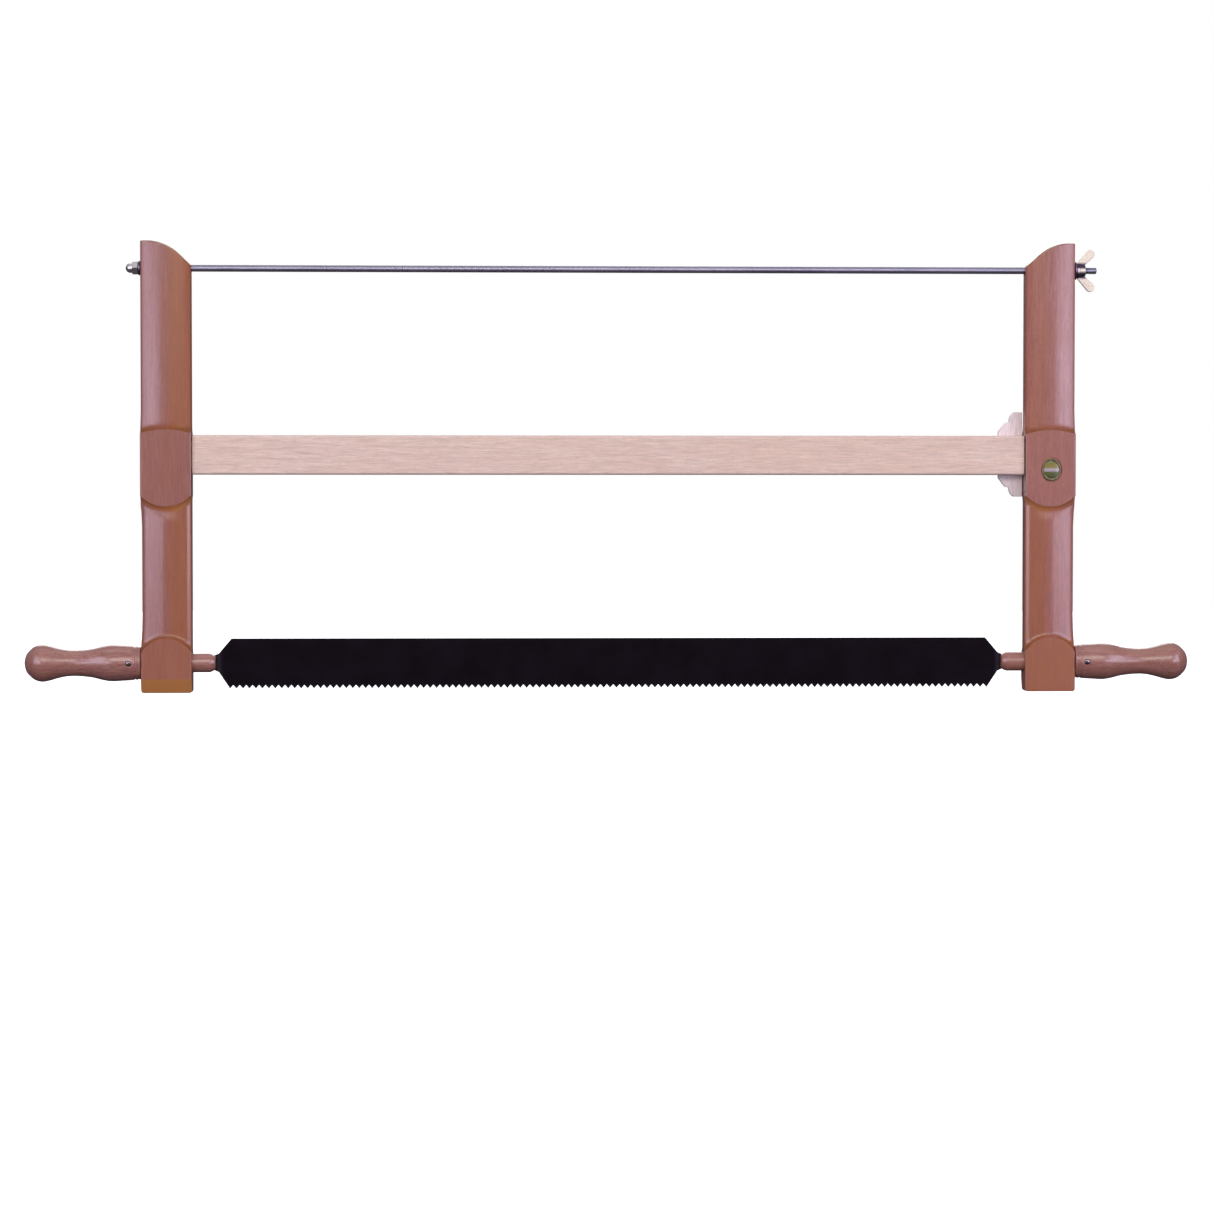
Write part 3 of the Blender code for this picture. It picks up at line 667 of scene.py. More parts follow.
def bow(across, middle, sides):
    """Height of a circular arc across the arm, given its height at the middle and the sides."""
    half = ARM_WIDTH / 2
    rise = middle - sides
    radius = (half * half + rise * rise) / (2 * rise)
    offset = across - half
    return middle - radius + math.copysign(math.sqrt(radius * radius - offset * offset), radius)


def top_line(across):
    """Height of the arm's top: slanted, then rounded, then flat up to a small corner."""
    shoulder = UPPER_SHANK_WIDTH - TOP_CORNER - TOP_FLAT
    tangent = shoulder - TOP_RADIUS * math.sin(math.radians(45))
    tangent_height = ARM_HEIGHT - TOP_RADIUS + TOP_RADIUS * math.cos(math.radians(45))
    corner = UPPER_SHANK_WIDTH - TOP_CORNER
    if across < tangent:
        return tangent_height - (tangent - across)
    if across < shoulder:
        return ARM_HEIGHT - TOP_RADIUS + math.sqrt(TOP_RADIUS ** 2 - (across - shoulder) ** 2)
    if across < corner:
        return ARM_HEIGHT
    reach = min(across - corner, TOP_CORNER)
    return ARM_HEIGHT - TOP_CORNER + math.sqrt(TOP_CORNER ** 2 - reach ** 2)


def bottom_line(across):
    """Height of the foot's underside: flat between rounded corners."""
    reach = FOOT_CORNER - min(across, ARM_WIDTH - across, FOOT_CORNER)
    return FOOT_CORNER - math.sqrt(FOOT_CORNER ** 2 - reach ** 2)


def upper_depth(across):
    """Half depth of the upper shank, an oval across its width."""
    offset = min(1.0, abs(2 * across / ARM_WIDTH - 1))
    middle, edge = UPPER_CROWN
    return edge + (middle - edge) * math.sqrt(1 - offset * offset)


def lower_depth(across):
    """Half depth of the lower shank, a roof with a rounded ridge and chamfered sides."""
    offset = min(1.0, abs(2 * across / ARM_WIDTH - 1))
    middle, chamfer, edge = LOWER_CROWN
    if offset < LOWER_CHAMFER_AT:
        rounded = max(0.0, LOWER_RIDGE - offset) ** 2 / (2 * LOWER_RIDGE)
        bulge = LOWER_BULGE * offset * (LOWER_CHAMFER_AT - offset)
        return middle + bulge - (middle - chamfer) * (offset + rounded) / LOWER_CHAMFER_AT
    return chamfer + (edge - chamfer) * (offset - LOWER_CHAMFER_AT) / (1 - LOWER_CHAMFER_AT)


def fading_roof(below):
    """The lower shank's profile at a distance below the mid block, where its ridge fades in."""
    share = ROOF_LEAST + (1 - ROOF_LEAST) * smoothstep(below / ROOF_FADE)

    def depth(across):
        offset = min(1.0, abs(2 * across / ARM_WIDTH - 1))
        level = LOWER_CROWN[1] + ROOF_ABOVE_CHAMFER
        roof = lower_depth(across)
        return roof if offset > LOWER_CHAMFER_AT or roof < level else level + (roof - level) * share

    return depth


def block_depth(across):
    """Half depth of the square blocks, the same all across."""
    return ARM_HALF_DEPTH


def cove(drop, offset):
    """What a round cutter leaves standing at some distance from a crisp edge, and how deep in it that is."""
    reach = math.sqrt(2 * COVE_RADIUS * drop - drop * drop)
    if offset >= reach:
        return 0.0, 0.0
    left = reach - offset
    return COVE_RADIUS - math.sqrt(COVE_RADIUS ** 2 - left ** 2), left / reach


def arris(across):
    """What the rounding of the arm's two edges takes off the depth."""
    near = min(across, ARM_WIDTH - across)
    if near >= ARRIS:
        return 0.0
    return ARRIS - math.sqrt(ARRIS ** 2 - (ARRIS - near) ** 2)


def arm_width(height):
    """The outer side steps in from the blocks to the shanks."""
    low = smoothstep((height - FOOT_SIDE) / SIDE_RUN)
    low -= smoothstep((height - BLOCK_SIDE[0] + SIDE_RUN) / SIDE_RUN)
    high = smoothstep((height - BLOCK_SIDE[1]) / SIDE_RUN)
    return ARM_WIDTH + (LOWER_SHANK_WIDTH - ARM_WIDTH) * low + (UPPER_SHANK_WIDTH - ARM_WIDTH) * high


def across_samples():
    """Distances from the arm's inner face, close together at its two edges."""
    start = [ARRIS * (1 - math.cos(math.radians(angle))) for angle in (0, 22, 44, 66, 80)]
    inside = spread(ARRIS, ARM_WIDTH - ARRIS, 25)
    return start + inside + [ARM_WIDTH - value for value in reversed(start)]


def raised(heights, rise):
    """Heights moved up, or down by a negative rise."""
    return [height + rise for height in heights]


def arm_rows(samples):
    """Rows up the arm: heights, half depths, then painted dark shade, painted golden light and matte shares,
    one per sample.
    """
    rows = []

    def add(heights, depth_at, offset=None, inset=0.0, kind=DARK_COVE, end_grain=0.0):
        darkness, gold, matte_reach = kind
        depths, cove_shade_and_end_grain_shares, golden_light_shares, mattes = [], [], [], []
        for across in samples:
            depth, shade = depth_at(across), 0.0
            if offset is not None:
                drop = ARM_HALF_DEPTH - depth
                left, share = cove(drop, offset)
                depth += left
                shade = math.sqrt(share) * min(1.0, COVE_LEAST_SHADE + drop / COVE_FULL_DROP)
            depths.append(depth - arris(across) - inset)
            # Painted dark shade in the coves, with darker end grain at the top.
            cove_shade_and_end_grain_shares.append(max(end_grain, shade * darkness))
            # Painted golden light in the downward-facing cove under the mid block, less towards the outer
            # side.
            golden_light_shares.append(gold * shade * (1 - GOLD_FADE * smoothstep(across / ARM_WIDTH)))
            mattes.append(0.0 if offset is None else smoothstep(MATTE_START - offset / matte_reach))
        rows.append((heights, depths, cove_shade_and_end_grain_shares, golden_light_shares, mattes))

    def between(first, second, steps, depth_at):
        for step in range(1, steps):
            share = step / steps
            add([a + (b - a) * share for a, b in zip(first, second)], depth_at)

    bottom = [bottom_line(across) for across in samples]
    chamfer = [FOOT_CHAMFER[1]] * len(samples)
    foot = [bow(across, *FOOT_TOP) for across in samples]
    low = [bow(across, *BLOCK_BOTTOM) for across in samples]
    high = [bow(across, *BLOCK_TOP) for across in samples]
    top = [top_line(across * UPPER_SHANK_WIDTH / ARM_WIDTH) for across in samples]
    turns = [math.radians(angle) for angle in (0, 30, 60, 90)]

    for turn in turns:
        rise = END_ROUND * (1 - math.cos(turn))
        add(raised(bottom, rise), block_depth, inset=END_ROUND * (1 - math.sin(turn)))
    between(raised(bottom, END_ROUND), chamfer, 3, block_depth)
    add(chamfer, block_depth)
    above = raised(chamfer, CHAMFER_EDGE)
    add(above, block_depth)
    between(above, foot, 4, block_depth)
    add(foot, block_depth)
    for offset in COVE_OFFSETS:
        add(raised(foot, offset), lower_depth, offset=offset, kind=SOFT_COVE)
    last = COVE_OFFSETS[-1]
    between(raised(foot, last), raised(low, -ROOF_FADE), 9, lower_depth)
    for below in ROOF_ROWS:
        add(raised(low, -below), fading_roof(below))
    # The cove under the mid block, painted golden light in place of its shade.
    for offset in reversed(COVE_OFFSETS):
        add(raised(low, -offset), fading_roof(offset), offset=offset, kind=GOLDEN_COVE)
    add(low, block_depth)
    between(low, high, 6, block_depth)
    add(high, block_depth)
    for offset in COVE_OFFSETS:
        add(raised(high, offset), upper_depth, offset=offset)
    end_grain = raised(top, -2 * END_ROUND)
    between(raised(high, last), end_grain, 12, upper_depth)
    add(end_grain, upper_depth)
    for turn in reversed(turns):
        fall = END_ROUND * (1 - math.cos(turn))
        inset = END_ROUND * (1 - math.sin(turn))
        add(raised(top, -fall), upper_depth, inset=inset, end_grain=END_GRAIN_SHADE)
    return rows


def foot_back(height):
    """How much the foot's chamfer takes off the back at a height."""
    depth, tall = FOOT_CHAMFER
    return depth * max(0.0, 1 - height / tall)


def orange_shade_share(across, height, side):
    """Painted orange shade where the lilac side lamps don't reach: the shanks' inner halves and the feet."""
    start, blend = ORANGE_SHADE_HALF
    inner = smoothstep((start - across / ARM_WIDTH) / blend)
    if height < FOOT_TOP[0]:
        return ORANGE_SHADE_FOOT[side]
    if height < BLOCK_BOTTOM[0]:
        return ORANGE_SHADE_LOWER_SHANK * inner
    if height < BLOCK_TOP[0]:
        return ORANGE_SHADE_BLOCK
    return ORANGE_SHADE_UPPER_SHANK[side] * inner


def dullness(across, height):
    """The upper shank's inner edge is worn dull."""
    start, blend = DULL_EDGE
    return DULL_SHARE * smoothstep((start - across) / blend) if height > BLOCK_TOP[0] else 0.0


def arm_mesh(name, side, material):
    """One arm as a loft of closed rings; the left arm is the right one turned half round."""
    samples = across_samples()
    count = len(samples)
    sides = (0.5, 0.0, -0.5)
    vertices, shading = [], []
    for heights, depths, dark, golden, matte in arm_rows(samples):
        width = [arm_width(height) / ARM_WIDTH for height in heights]
        near = [
            smoothstep(PALER_ARRIS_REACH - min(across, ARM_WIDTH - across) / ARRIS) for across in samples]
        # Painted orange shade on the sides away from the lilac side lamps.
        orange_shade = [orange_shade_share(across, height, side) for across, height in zip(samples, heights)]
        dull = [
            max(value, dullness(across, height))
            for value, across, height in zip(matte, samples, heights)]
        back = [depth - foot_back(height) for depth, height in zip(depths, heights)]
        # Below the chamfer's top the back is fully golden: the cut chamfer's colour with painted light on
        # its downward face.
        chamfer_top = FOOT_CHAMFER[1] + CHAMFER_EDGE / 2
        cut = [1.0 if height < chamfer_top else value for height, value in zip(heights, golden)]
        ring = [
            (samples[i] * width[i], -depths[i], heights[i], near[i], dark[i], golden[i], orange_shade[i], dull[i])
            for i in range(count)]
        behind = [
            (samples[i] * width[i], back[i], heights[i], near[i], dark[i], cut[i], orange_shade[i], dull[i])
            for i in reversed(range(count))]
        for i, across, shares, after in (
                (count - 1, ARM_WIDTH * width[-1], sides, behind), (0, 0.0, reversed(sides), [])):
            for share in shares:
                depth = back[i] * (1 - share) / 2 - depths[i] * (1 + share) / 2
                ring.append((across, depth, heights[i], 0.0, 0.0, 0.0, orange_shade[i], 0.0))
            ring += after
        for across, depth, height, *values in ring:
            vertices.append((side * (ARM_INNER + across), side * depth, height))
            shading.append(values)
    size = 2 * count + 2 * len(sides)
    rows = len(vertices) // size
    faces = bridge(rows, size)
    for start in (0, (rows - 1) * size):
        mirror = [start + count + len(sides) + (count - 1 - i) for i in range(count)]
        for index in range(count - 1):
            faces.append((start + index, start + index + 1, mirror[index + 1], mirror[index]))
        outer_side = [start + count + step for step in range(len(sides))]
        faces.append((start + count - 1, *outer_side, mirror[count - 1]))
        inner_side = [start + 2 * count + len(sides) + step for step in range(len(sides))]
        faces.append((mirror[0], *inner_side, start))
    obj = mesh_object(name, vertices, faces, material)
    for index, name in enumerate(("edge", "cove_shade_and_end_grain", "cut", "orange_shade", "matte")):
        set_attribute(obj, name, [values[index] for values in shading])
    return obj


def make_arm(name, side, material):
    """An arm with its bores and mortise; the right one also has the badge's recess."""
    arm = arm_mesh(name + "_wood", side, material)
    middle = side * (ARM_INNER + ARM_WIDTH / 2)
    for height, radius in ((BLADE_Z, SPINDLE_BORE), (ROD_Z, ROD_BORE)):
        through = [(-LONG_MARGIN, radius), (LONG_MARGIN, radius)]
        combine(arm, lathe("bore", through, centre=(middle, 0, height), segments=64))
    length, depth, tall = MORTISE
    ends = sorted((side * (ARM_INNER - CUT_MARGIN), side * (ARM_INNER + length)))
    pocket = block(
        "pocket", (ends[0], -depth / 2, STRETCHER_Z - tall / 2),
        (ends[1], depth / 2, STRETCHER_Z + tall / 2))
    combine(arm, pocket)
    if side > 0:
        half_width, half_height, deep = BADGE_RECESS
        outline = oval(half_width, half_height)
        combine(arm, slab("recess", outline, -ARM_HALF_DEPTH - CUT_MARGIN, -ARM_HALF_DEPTH + deep))
    smooth(arm, angle=26)
    return place(arm, name, "beech", name)


# ---------------------------------------------------------------- stretcher and plate

def shoulder(height, radius):
    """How far the crowned end has drawn back from the arm at a height off its middle."""
    return height * height / (2 * radius)


def rounded_section(half_depth, half_height, radius, steps):
    """A rounded rectangle, as (depth, height) pairs."""
    points = []
    for depth, height, start in (
            (1, 1, 0), (-1, 1, 90), (-1, -1, 180), (1, -1, 270)):
        centre = (depth * (half_depth - radius), height * (half_height - radius))
        points += arc(centre, radius, start, start + 90, steps)
    return points


def make_stretcher(material):
    """The crossbar with crowned ends, a tenon at each and the plate's rebate behind one."""
    half_height, half_depth = STRETCHER_HALF_HEIGHT, STRETCHER_HALF_DEPTH
    section = rounded_section(half_depth, half_height, STRETCHER_ARRIS, 5)
    edge_width = STRETCHER_ARRIS * 0.9
    end = ARM_INNER - GAP
    vertices, edges = [], []
    for share in spread(-1.0, 1.0, STRETCHER_STATIONS):
        for depth, height in section:
            reach = end - shoulder(height, SHOULDER_RADIUS)
            vertices.append((share * reach, depth, STRETCHER_Z + height))
            rounded = abs(depth) > half_depth - edge_width and abs(height) > half_height - edge_width
            edges.append(1.0 if rounded else 0.0)
    faces = ring_faces(STRETCHER_STATIONS, len(section))
    stretcher = mesh_object("stretcher_wood", vertices, faces, material)
    set_attribute(stretcher, "edge", edges)
    length, thickness, tall = TENON
    for side in (-1, 1):
        ends = sorted((side * (ARM_INNER - TENON_ROOT), side * (ARM_INNER + length)))
        tenon = block(
            "tenon", (ends[0], -thickness / 2, STRETCHER_Z - tall / 2),
            (ends[1], thickness / 2, STRETCHER_Z + tall / 2))
        soften(tenon, TENON_ARRIS)
        combine(stretcher, tenon, "UNION")
    rebate = block(
        "rebate",
        (ARM_INNER - PLATE_REACH - REBATE_PAST_PLATE, PLATE_FRONT - GAP, STRETCHER_Z - REBATE_HALF_HEIGHT),
        (ARM_INNER + REBATE_PAST_END, REBATE_BACK, STRETCHER_Z + REBATE_HALF_HEIGHT))
    combine(stretcher, rebate)
    smooth(stretcher, angle=30)
    return place(stretcher, "stretcher", "pale_beech", "stretcher")


def plate_outline():
    """Scalloped plate: distance along X, height above the ground."""
    end = ARM_INNER - GAP
    upper = [(end - PLATE_REACH, PLATE_RISE)]
    upper += [(end - reach, height) for reach, height in PLATE_STEP]
    step_reach, step_height = PLATE_STEP[-1]
    for share_x, share_z in arc((0, 0), 1, 180, 90, 14)[1:]:
        across = end - PLATE_ROUND + (step_reach - PLATE_ROUND) * share_x
        upper.append((across, step_height + (PLATE_HALF_HEIGHT - step_height) * share_z))
    edge = []
    for height in spread(PLATE_HALF_HEIGHT, -PLATE_HALF_HEIGHT, 17):
        edge.append((end - shoulder(height, PLATE_EDGE_RADIUS), height))
    lower = [(across, -height) for across, height in reversed(upper)]
    outline = []
    for across, height in upper + edge + lower:
        outline.append((across, STRETCHER_Z + (height if height > 0 else height * PLATE_LOWER_SHARE)))
    return outline


def make_plate(material):
    """The scalloped plate behind the stretcher's right end."""
    plate = slab("plate_wood", plate_outline(), PLATE_FRONT, PLATE_FRONT + PLATE_DEPTH, material)
    soften(plate, PLATE_ARRIS, segments=3, angle=60)
    smooth(plate, angle=40)
    return place(plate, "stretcher", "pale_beech", "scalloped_plate")


# ---------------------------------------------------------------- rod and fittings

def rod_stations(low, high):
    """Places along the rod: far apart on the plain shank, close together on the threads."""
    step = THREAD_PITCH / THREAD_STEPS
    left_threads = spread(low, LEFT_THREAD_END, int((LEFT_THREAD_END - low) / step))
    plain = spread(PLAIN_START, THREAD_START, PLAIN_STATIONS)
    right_threads = spread(THREAD_START + step, high, int((high - THREAD_START) / step))
    return left_threads + plain + right_threads


def make_rod(material):
    """The tension rod, threaded and chamfered at both ends."""
    low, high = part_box("tension_rod")
    stations = rod_stations(low.x, high.x)
    vertices = []
    for along in stations:
        threaded = smoothstep((along - THREAD_START) / THREAD_RUNOUT)
        threaded += smoothstep((LEFT_THREAD_END - along) / THREAD_RUNOUT)
        end = min(along - low.x, high.x - along)
        taper = ROD_CHAMFER * (1 - min(1.0, end / ROD_CHAMFER))
        for step in range(ROD_SEGMENTS):
            turn = step / ROD_SEGMENTS
            phase = (along / THREAD_PITCH - turn) % 1.0
            groove = THREAD_DEPTH * abs(2 * phase - 1) * threaded
            radius = ROD_RADIUS - groove - taper
            angle = math.tau * turn
            vertices.append((along, radius * math.cos(angle), ROD_Z + radius * math.sin(angle)))
    rod = mesh_object("rod_steel", vertices, ring_faces(len(stations), ROD_SEGMENTS), material)
    smooth(rod, angle=60)
    return place(rod, "rod", "rod_steel", "tension_rod")


def make_washer(node, body, material):
    """A plain washer with its edges broken, the size of its CAD node."""
    low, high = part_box(node)
    radius = (high.z - low.z) / 2
    hole = ROD_RADIUS + GAP
    bevel = WASHER_BEVEL
    profile = [
        (low.x + bevel, radius), (low.x, radius - bevel), (low.x, hole + bevel / 2),
        (low.x + bevel / 2, hole), (high.x - bevel / 2, hole), (high.x, hole + bevel / 2),
        (high.x, radius - bevel), (high.x - bevel, radius)]
    washer = turned_on_rod(node + "_steel", profile, material, closed=True)
    smooth(washer, angle=50)
    return place(washer, body, "bright_steel", node)


def make_cap_nut(material):
    """Hexagon chamfered at both ends, with a domed cap, over the left end of the rod."""
    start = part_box("cap_nut")[1].x
    corner = CAP_FLATS / math.sqrt(3)
    outline = []
    for step in range(6):
        angle = math.radians(60 * step)
        outline.append((corner * math.cos(angle), corner * math.sin(angle)))
    vertices = []
    for along in (start, start - CAP_HEX_LENGTH):
        vertices += [(along, y, ROD_Z + z) for y, z in outline]
    nut = mesh_object("cap_nut_steel", vertices, ring_faces(2, 6), material)
    flat, proud, beyond, run = CAP_FLATS / 2, corner + 0.0001, 0.001, 0.0007
    far = start - CAP_HEX_LENGTH
    barrel = turned_on_rod("barrel", [
        (start + beyond, flat - 0.0016), (start, flat - 0.0002), (start - run, proud),
        (far + run, proud), (far, flat - 0.0001), (far - beyond, flat - 0.0016)],
        segments=ROUND_SEGMENTS)
    combine(nut, barrel, "INTERSECT")
    centre = start - CAP_LENGTH + CAP_DOME_RADIUS
    profile = [(start - beyond, CAP_DOME_RADIUS), (centre, CAP_DOME_RADIUS)]
    for turn in (12, 24, 36, 48, 60, 70, 80, 90):
        angle = math.radians(turn)
        profile.append((centre - CAP_DOME_RADIUS * math.sin(angle), CAP_DOME_RADIUS * math.cos(angle)))
    combine(nut, turned_on_rod("dome", profile), "UNION")
    hole = ROD_RADIUS + GAP
    blind = [(start + CUT_MARGIN, hole), (start - CAP_HOLE_DEPTH, hole)]
    combine(nut, turned_on_rod("hole", blind, segments=48))
    soften(nut, CAP_ARRIS, angle=25)
    smooth(nut, angle=30)
    return place(nut, "rod", "bright_steel", "cap_nut")


def ear_outline(start, side):
    """A wing: two circles and their outer tangents."""
    root_x, root_z, root_radius = WING_ROOT
    tip_x, tip_z, tip_radius = WING_TIP
    heading = math.degrees(math.atan2(tip_z - root_z, tip_x - root_x))
    distance = math.hypot(tip_x - root_x, tip_z - root_z)
    lean = math.degrees(math.asin((tip_radius - root_radius) / distance))
    points = arc((tip_x, tip_z), tip_radius, heading - 90 - lean, heading + 90 + lean, 24)
    points += arc((root_x, root_z), root_radius, heading + 90 + lean, heading + 270 - lean, 16)
    return [(start + across, ROD_Z + side * height) for across, height in points]


def make_wing_nut(material):
    """Cast in one piece: the hub and both wings melt into each other."""
    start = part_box("wing_nut")[0].x
    profile = [(start + along, radius) for along, radius in WING_HUB_PROFILE]
    hub = turned_on_rod("wing_nut_cast", profile, material)
    for side in (1, -1):
        ear = slab("ear", ear_outline(start, side), -WING_DEPTH / 2, WING_DEPTH / 2)
        combine(hub, ear, "UNION")
    remesh = hub.modifiers.new("cast", "REMESH")
    remesh.mode = "VOXEL"
    remesh.voxel_size = WING_VOXEL
    soft = hub.modifiers.new("soft", "SMOOTH")
    soft.factor = 0.5
    soft.iterations = 5
    apply_modifiers(hub)
    hole = ROD_RADIUS + GAP
    through = [(start - CUT_MARGIN, hole), (start + WING_HUB_LENGTH + CUT_MARGIN, hole)]
    combine(hub, turned_on_rod("hole", through, segments=48))
    hub.data.materials.clear()
    hub.data.materials.append(material)
    smooth(hub, angle=50)
    return place(hub, "wing_nut", "cast_wing", "wing_nut")


# ---------------------------------------------------------------- blade

def blade_column(distance):
    """Lower and upper edge of the blade at a distance from its middle, without its teeth."""
    gullet = TOOTH_TIP_Z + TOOTH_DEPTH
    pitch = 2 * TEETH_HALF_LENGTH / TOOTH_COUNT
    knots = [
        (0.0, gullet, BLADE_TOP),
        (TEETH_HALF_LENGTH - pitch / 2, gullet, BLADE_TOP),
        (BLADE_TOP_HALF_LENGTH, None, BLADE_TOP),
        (TEETH_HALF_LENGTH, TOOTH_TIP_Z, None),
        (NECK[0], BLADE_Z - NECK[1], BLADE_Z + NECK[1]),
        (TANG[0], BLADE_Z - TANG[1], BLADE_Z + TANG[1]),
        (TANG_END, BLADE_Z - TANG[1], BLADE_Z + TANG[1]),
    ]
    edges = []
    for index in (1, 2):
        known = [(knot[0], knot[index]) for knot in knots if knot[index] is not None]
        for (first, low), (second, high) in zip(known, known[1:]):
            if first <= distance <= second:
                edges.append(low + (high - low) * (distance - first) / (second - first))
                break
    return edges


def make_blade(material):
    """The blade as two faces with a thin back, and teeth leaning to either side in turn."""
    pitch = 2 * TEETH_HALF_LENGTH / TOOTH_COUNT
    gullets = [-TEETH_HALF_LENGTH + (tooth + 0.5) * pitch for tooth in range(TOOTH_COUNT)]
    outside = [
        TANG_END, TANG_STATION, TANG[0], NECK[0], NOSE_STATION, TEETH_HALF_LENGTH, BLADE_TOP_HALF_LENGTH]
    columns = [-distance for distance in outside] + gullets + list(reversed(outside))
    half = BLADE_HALF_THICKNESS
    vertices = []
    for column in columns:
        lower, upper = blade_column(abs(column))
        for face in (-1, 1):
            for share in BLADE_SHARES:
                thin = BLADE_BACK_SHARE if share == 1.0 else 1.0
                vertices.append((column, face * half * thin, lower + (upper - lower) * share))
    per_face = len(BLADE_SHARES)
    size = 2 * per_face
    faces = []
    for index in range(len(columns) - 1):
        here, after = index * size, (index + 1) * size
        for row in range(per_face - 1):
            faces.append((here + row, after + row, after + row + 1, here + row + 1))
            back_here, back_after = here + per_face + row, after + per_face + row
            faces.append((back_here, back_here + 1, back_after + 1, back_after))
        top, back_top = per_face - 1, size - 1
        faces.append((here + top, after + top, after + back_top, here + back_top))
        toothed = len(outside) <= index < len(outside) + TOOTH_COUNT - 1
        if not toothed:
            faces.append((here, here + per_face, after + per_face, after))
    for index in (0, len(columns) - 1):
        start = index * size
        faces.append(tuple(start + row for row in range(per_face)) + tuple(
            start + per_face + row for row in reversed(range(per_face))))
    for tooth in range(TOOTH_COUNT - 1):
        here = (len(outside) + tooth) * size
        after = here + size
        lean = TOOTH_SET if tooth % 2 else -TOOTH_SET
        tip = (columns[len(outside) + tooth] + columns[len(outside) + tooth + 1]) / 2
        front = len(vertices)
        vertices.append((tip, lean - half * TOOTH_TIP_SHARE, TOOTH_TIP_Z))
        vertices.append((tip, lean + half * TOOTH_TIP_SHARE, TOOTH_TIP_Z))
        back = front + 1
        faces.append((here, front, after))
        faces.append((here + per_face, after + per_face, back))
        faces.append((here, here + per_face, back, front))
        faces.append((after, front, back, after + per_face))
    blade = mesh_object("blade_steel", vertices, faces, material)
    smooth(blade, angle=20)
    return place(blade, "blade", "dark_steel", "saw_blade")


# ---------------------------------------------------------------- handles and pins

def curve_through(points, steps):
    """A Catmull-Rom line through points, in so many steps from each to the next."""
    line = []
    for index in range(len(points) - 1):
        before = points[max(0, index - 1)]
        first, second = points[index], points[index + 1]
        after = points[min(len(points) - 1, index + 2)]
        for step in range(steps):
            t = step / steps
            value = []
            for axis in (0, 1):
                a, b, c, d = before[axis], first[axis], second[axis], after[axis]
                value.append(0.5 * (
                    2 * b + (c - a) * t + (2 * a - 5 * b + 4 * c - d) * t * t
                    + (3 * b - a - 3 * c + d) * t ** 3))
            line.append(tuple(value))
    return line + [points[-1]]


def handle_profile():
    """Spindle and grip: (distance from the middle of the saw, radius)."""
    profile = [(SPINDLE_END + along, radius) for along, radius in SPINDLE_NOSE]
    profile += [(along, SPINDLE_RADIUS) for along in spread(SPINDLE_PLAIN_START, HANDLE_FACE + GAP, 8)]
    width, depth = GROOVE
    grip = []
    for distance, radius in curve_through(HANDLE_OUTLINE, 5):
        if all(abs(distance - groove) > 1.5 * width for groove in GROOVES):
            grip.append((distance, radius))
    for groove in GROOVES:
        edge = [radius for distance, radius in grip if distance < groove][-1]
        for offset, drop in (
                (-width, 0.0), (-width / 3, GROOVE_FLOOR), (width / 3, GROOVE_FLOOR), (width, 0.0)):
            grip.append((groove + offset, edge + GROOVE_LIFT - depth * drop))
    grip.sort()
    tip = HANDLE_OUTLINE[-1][0]
    rounded = [(min(distance, tip), max(0.0, radius)) for distance, radius in grip]
    profile += [(HANDLE_FACE + distance, radius) for distance, radius in rounded]
    return profile


def make_handle(name, side, material):
    """A grip and spindle in one, with the kerf for the blade and the hole for its pin."""
    profile = [(side * along, radius) for along, radius in handle_profile()]
    handle = lathe(name + "_wood", profile, material, centre=(0, 0, BLADE_Z))
    near, far = sorted((side * (SPINDLE_END - CUT_MARGIN), side * KERF_END))
    kerf = block(
        "kerf", (near, -KERF_WIDTH / 2, BLADE_Z - KERF_HALF_HEIGHT),
        (far, KERF_WIDTH / 2, BLADE_Z + KERF_HALF_HEIGHT))
    combine(handle, kerf)
    through = [(-LONG_MARGIN, PIN_BORE), (LONG_MARGIN, PIN_BORE)]
    combine(handle, lathe("hole", through, axis="Y", centre=(side * PIN_AT, 0, BLADE_Z), segments=48))
    smooth(handle, angle=28)
    return place(handle, "blade", "beech", name)


def make_pin(node, material):
    """A pin with slightly domed ends, the size of its CAD node."""
    low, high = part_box(node)
    radius = (high.x - low.x) / 2
    half = (high.y - low.y) / 2
    profile = []
    for end in (-1, 1):
        rim = [(end * (half - drop), radius * share) for drop, share in PIN_RIM]
        profile += rim if end < 0 else list(reversed(rim))
    centre = (low + high) / 2
    pin = lathe(node + "_steel", profile, material, axis="Y", centre=(centre.x, 0, centre.z), segments=48)
    smooth(pin, angle=50)
    return place(pin, "blade", "bright_steel", node)


# ---------------------------------------------------------------- badge

def oval_ring(name, profile, material, closed):
    """Ovals in XZ one after another: (half width, half height, depth) rows."""
    vertices = []
    for half_width, half_height, depth in profile:
        vertices += [(x, depth, z) for x, z in oval(half_width, half_height)]
    return mesh_object(name, vertices, ring_faces(len(profile), ROUND_SEGMENTS, closed), material)


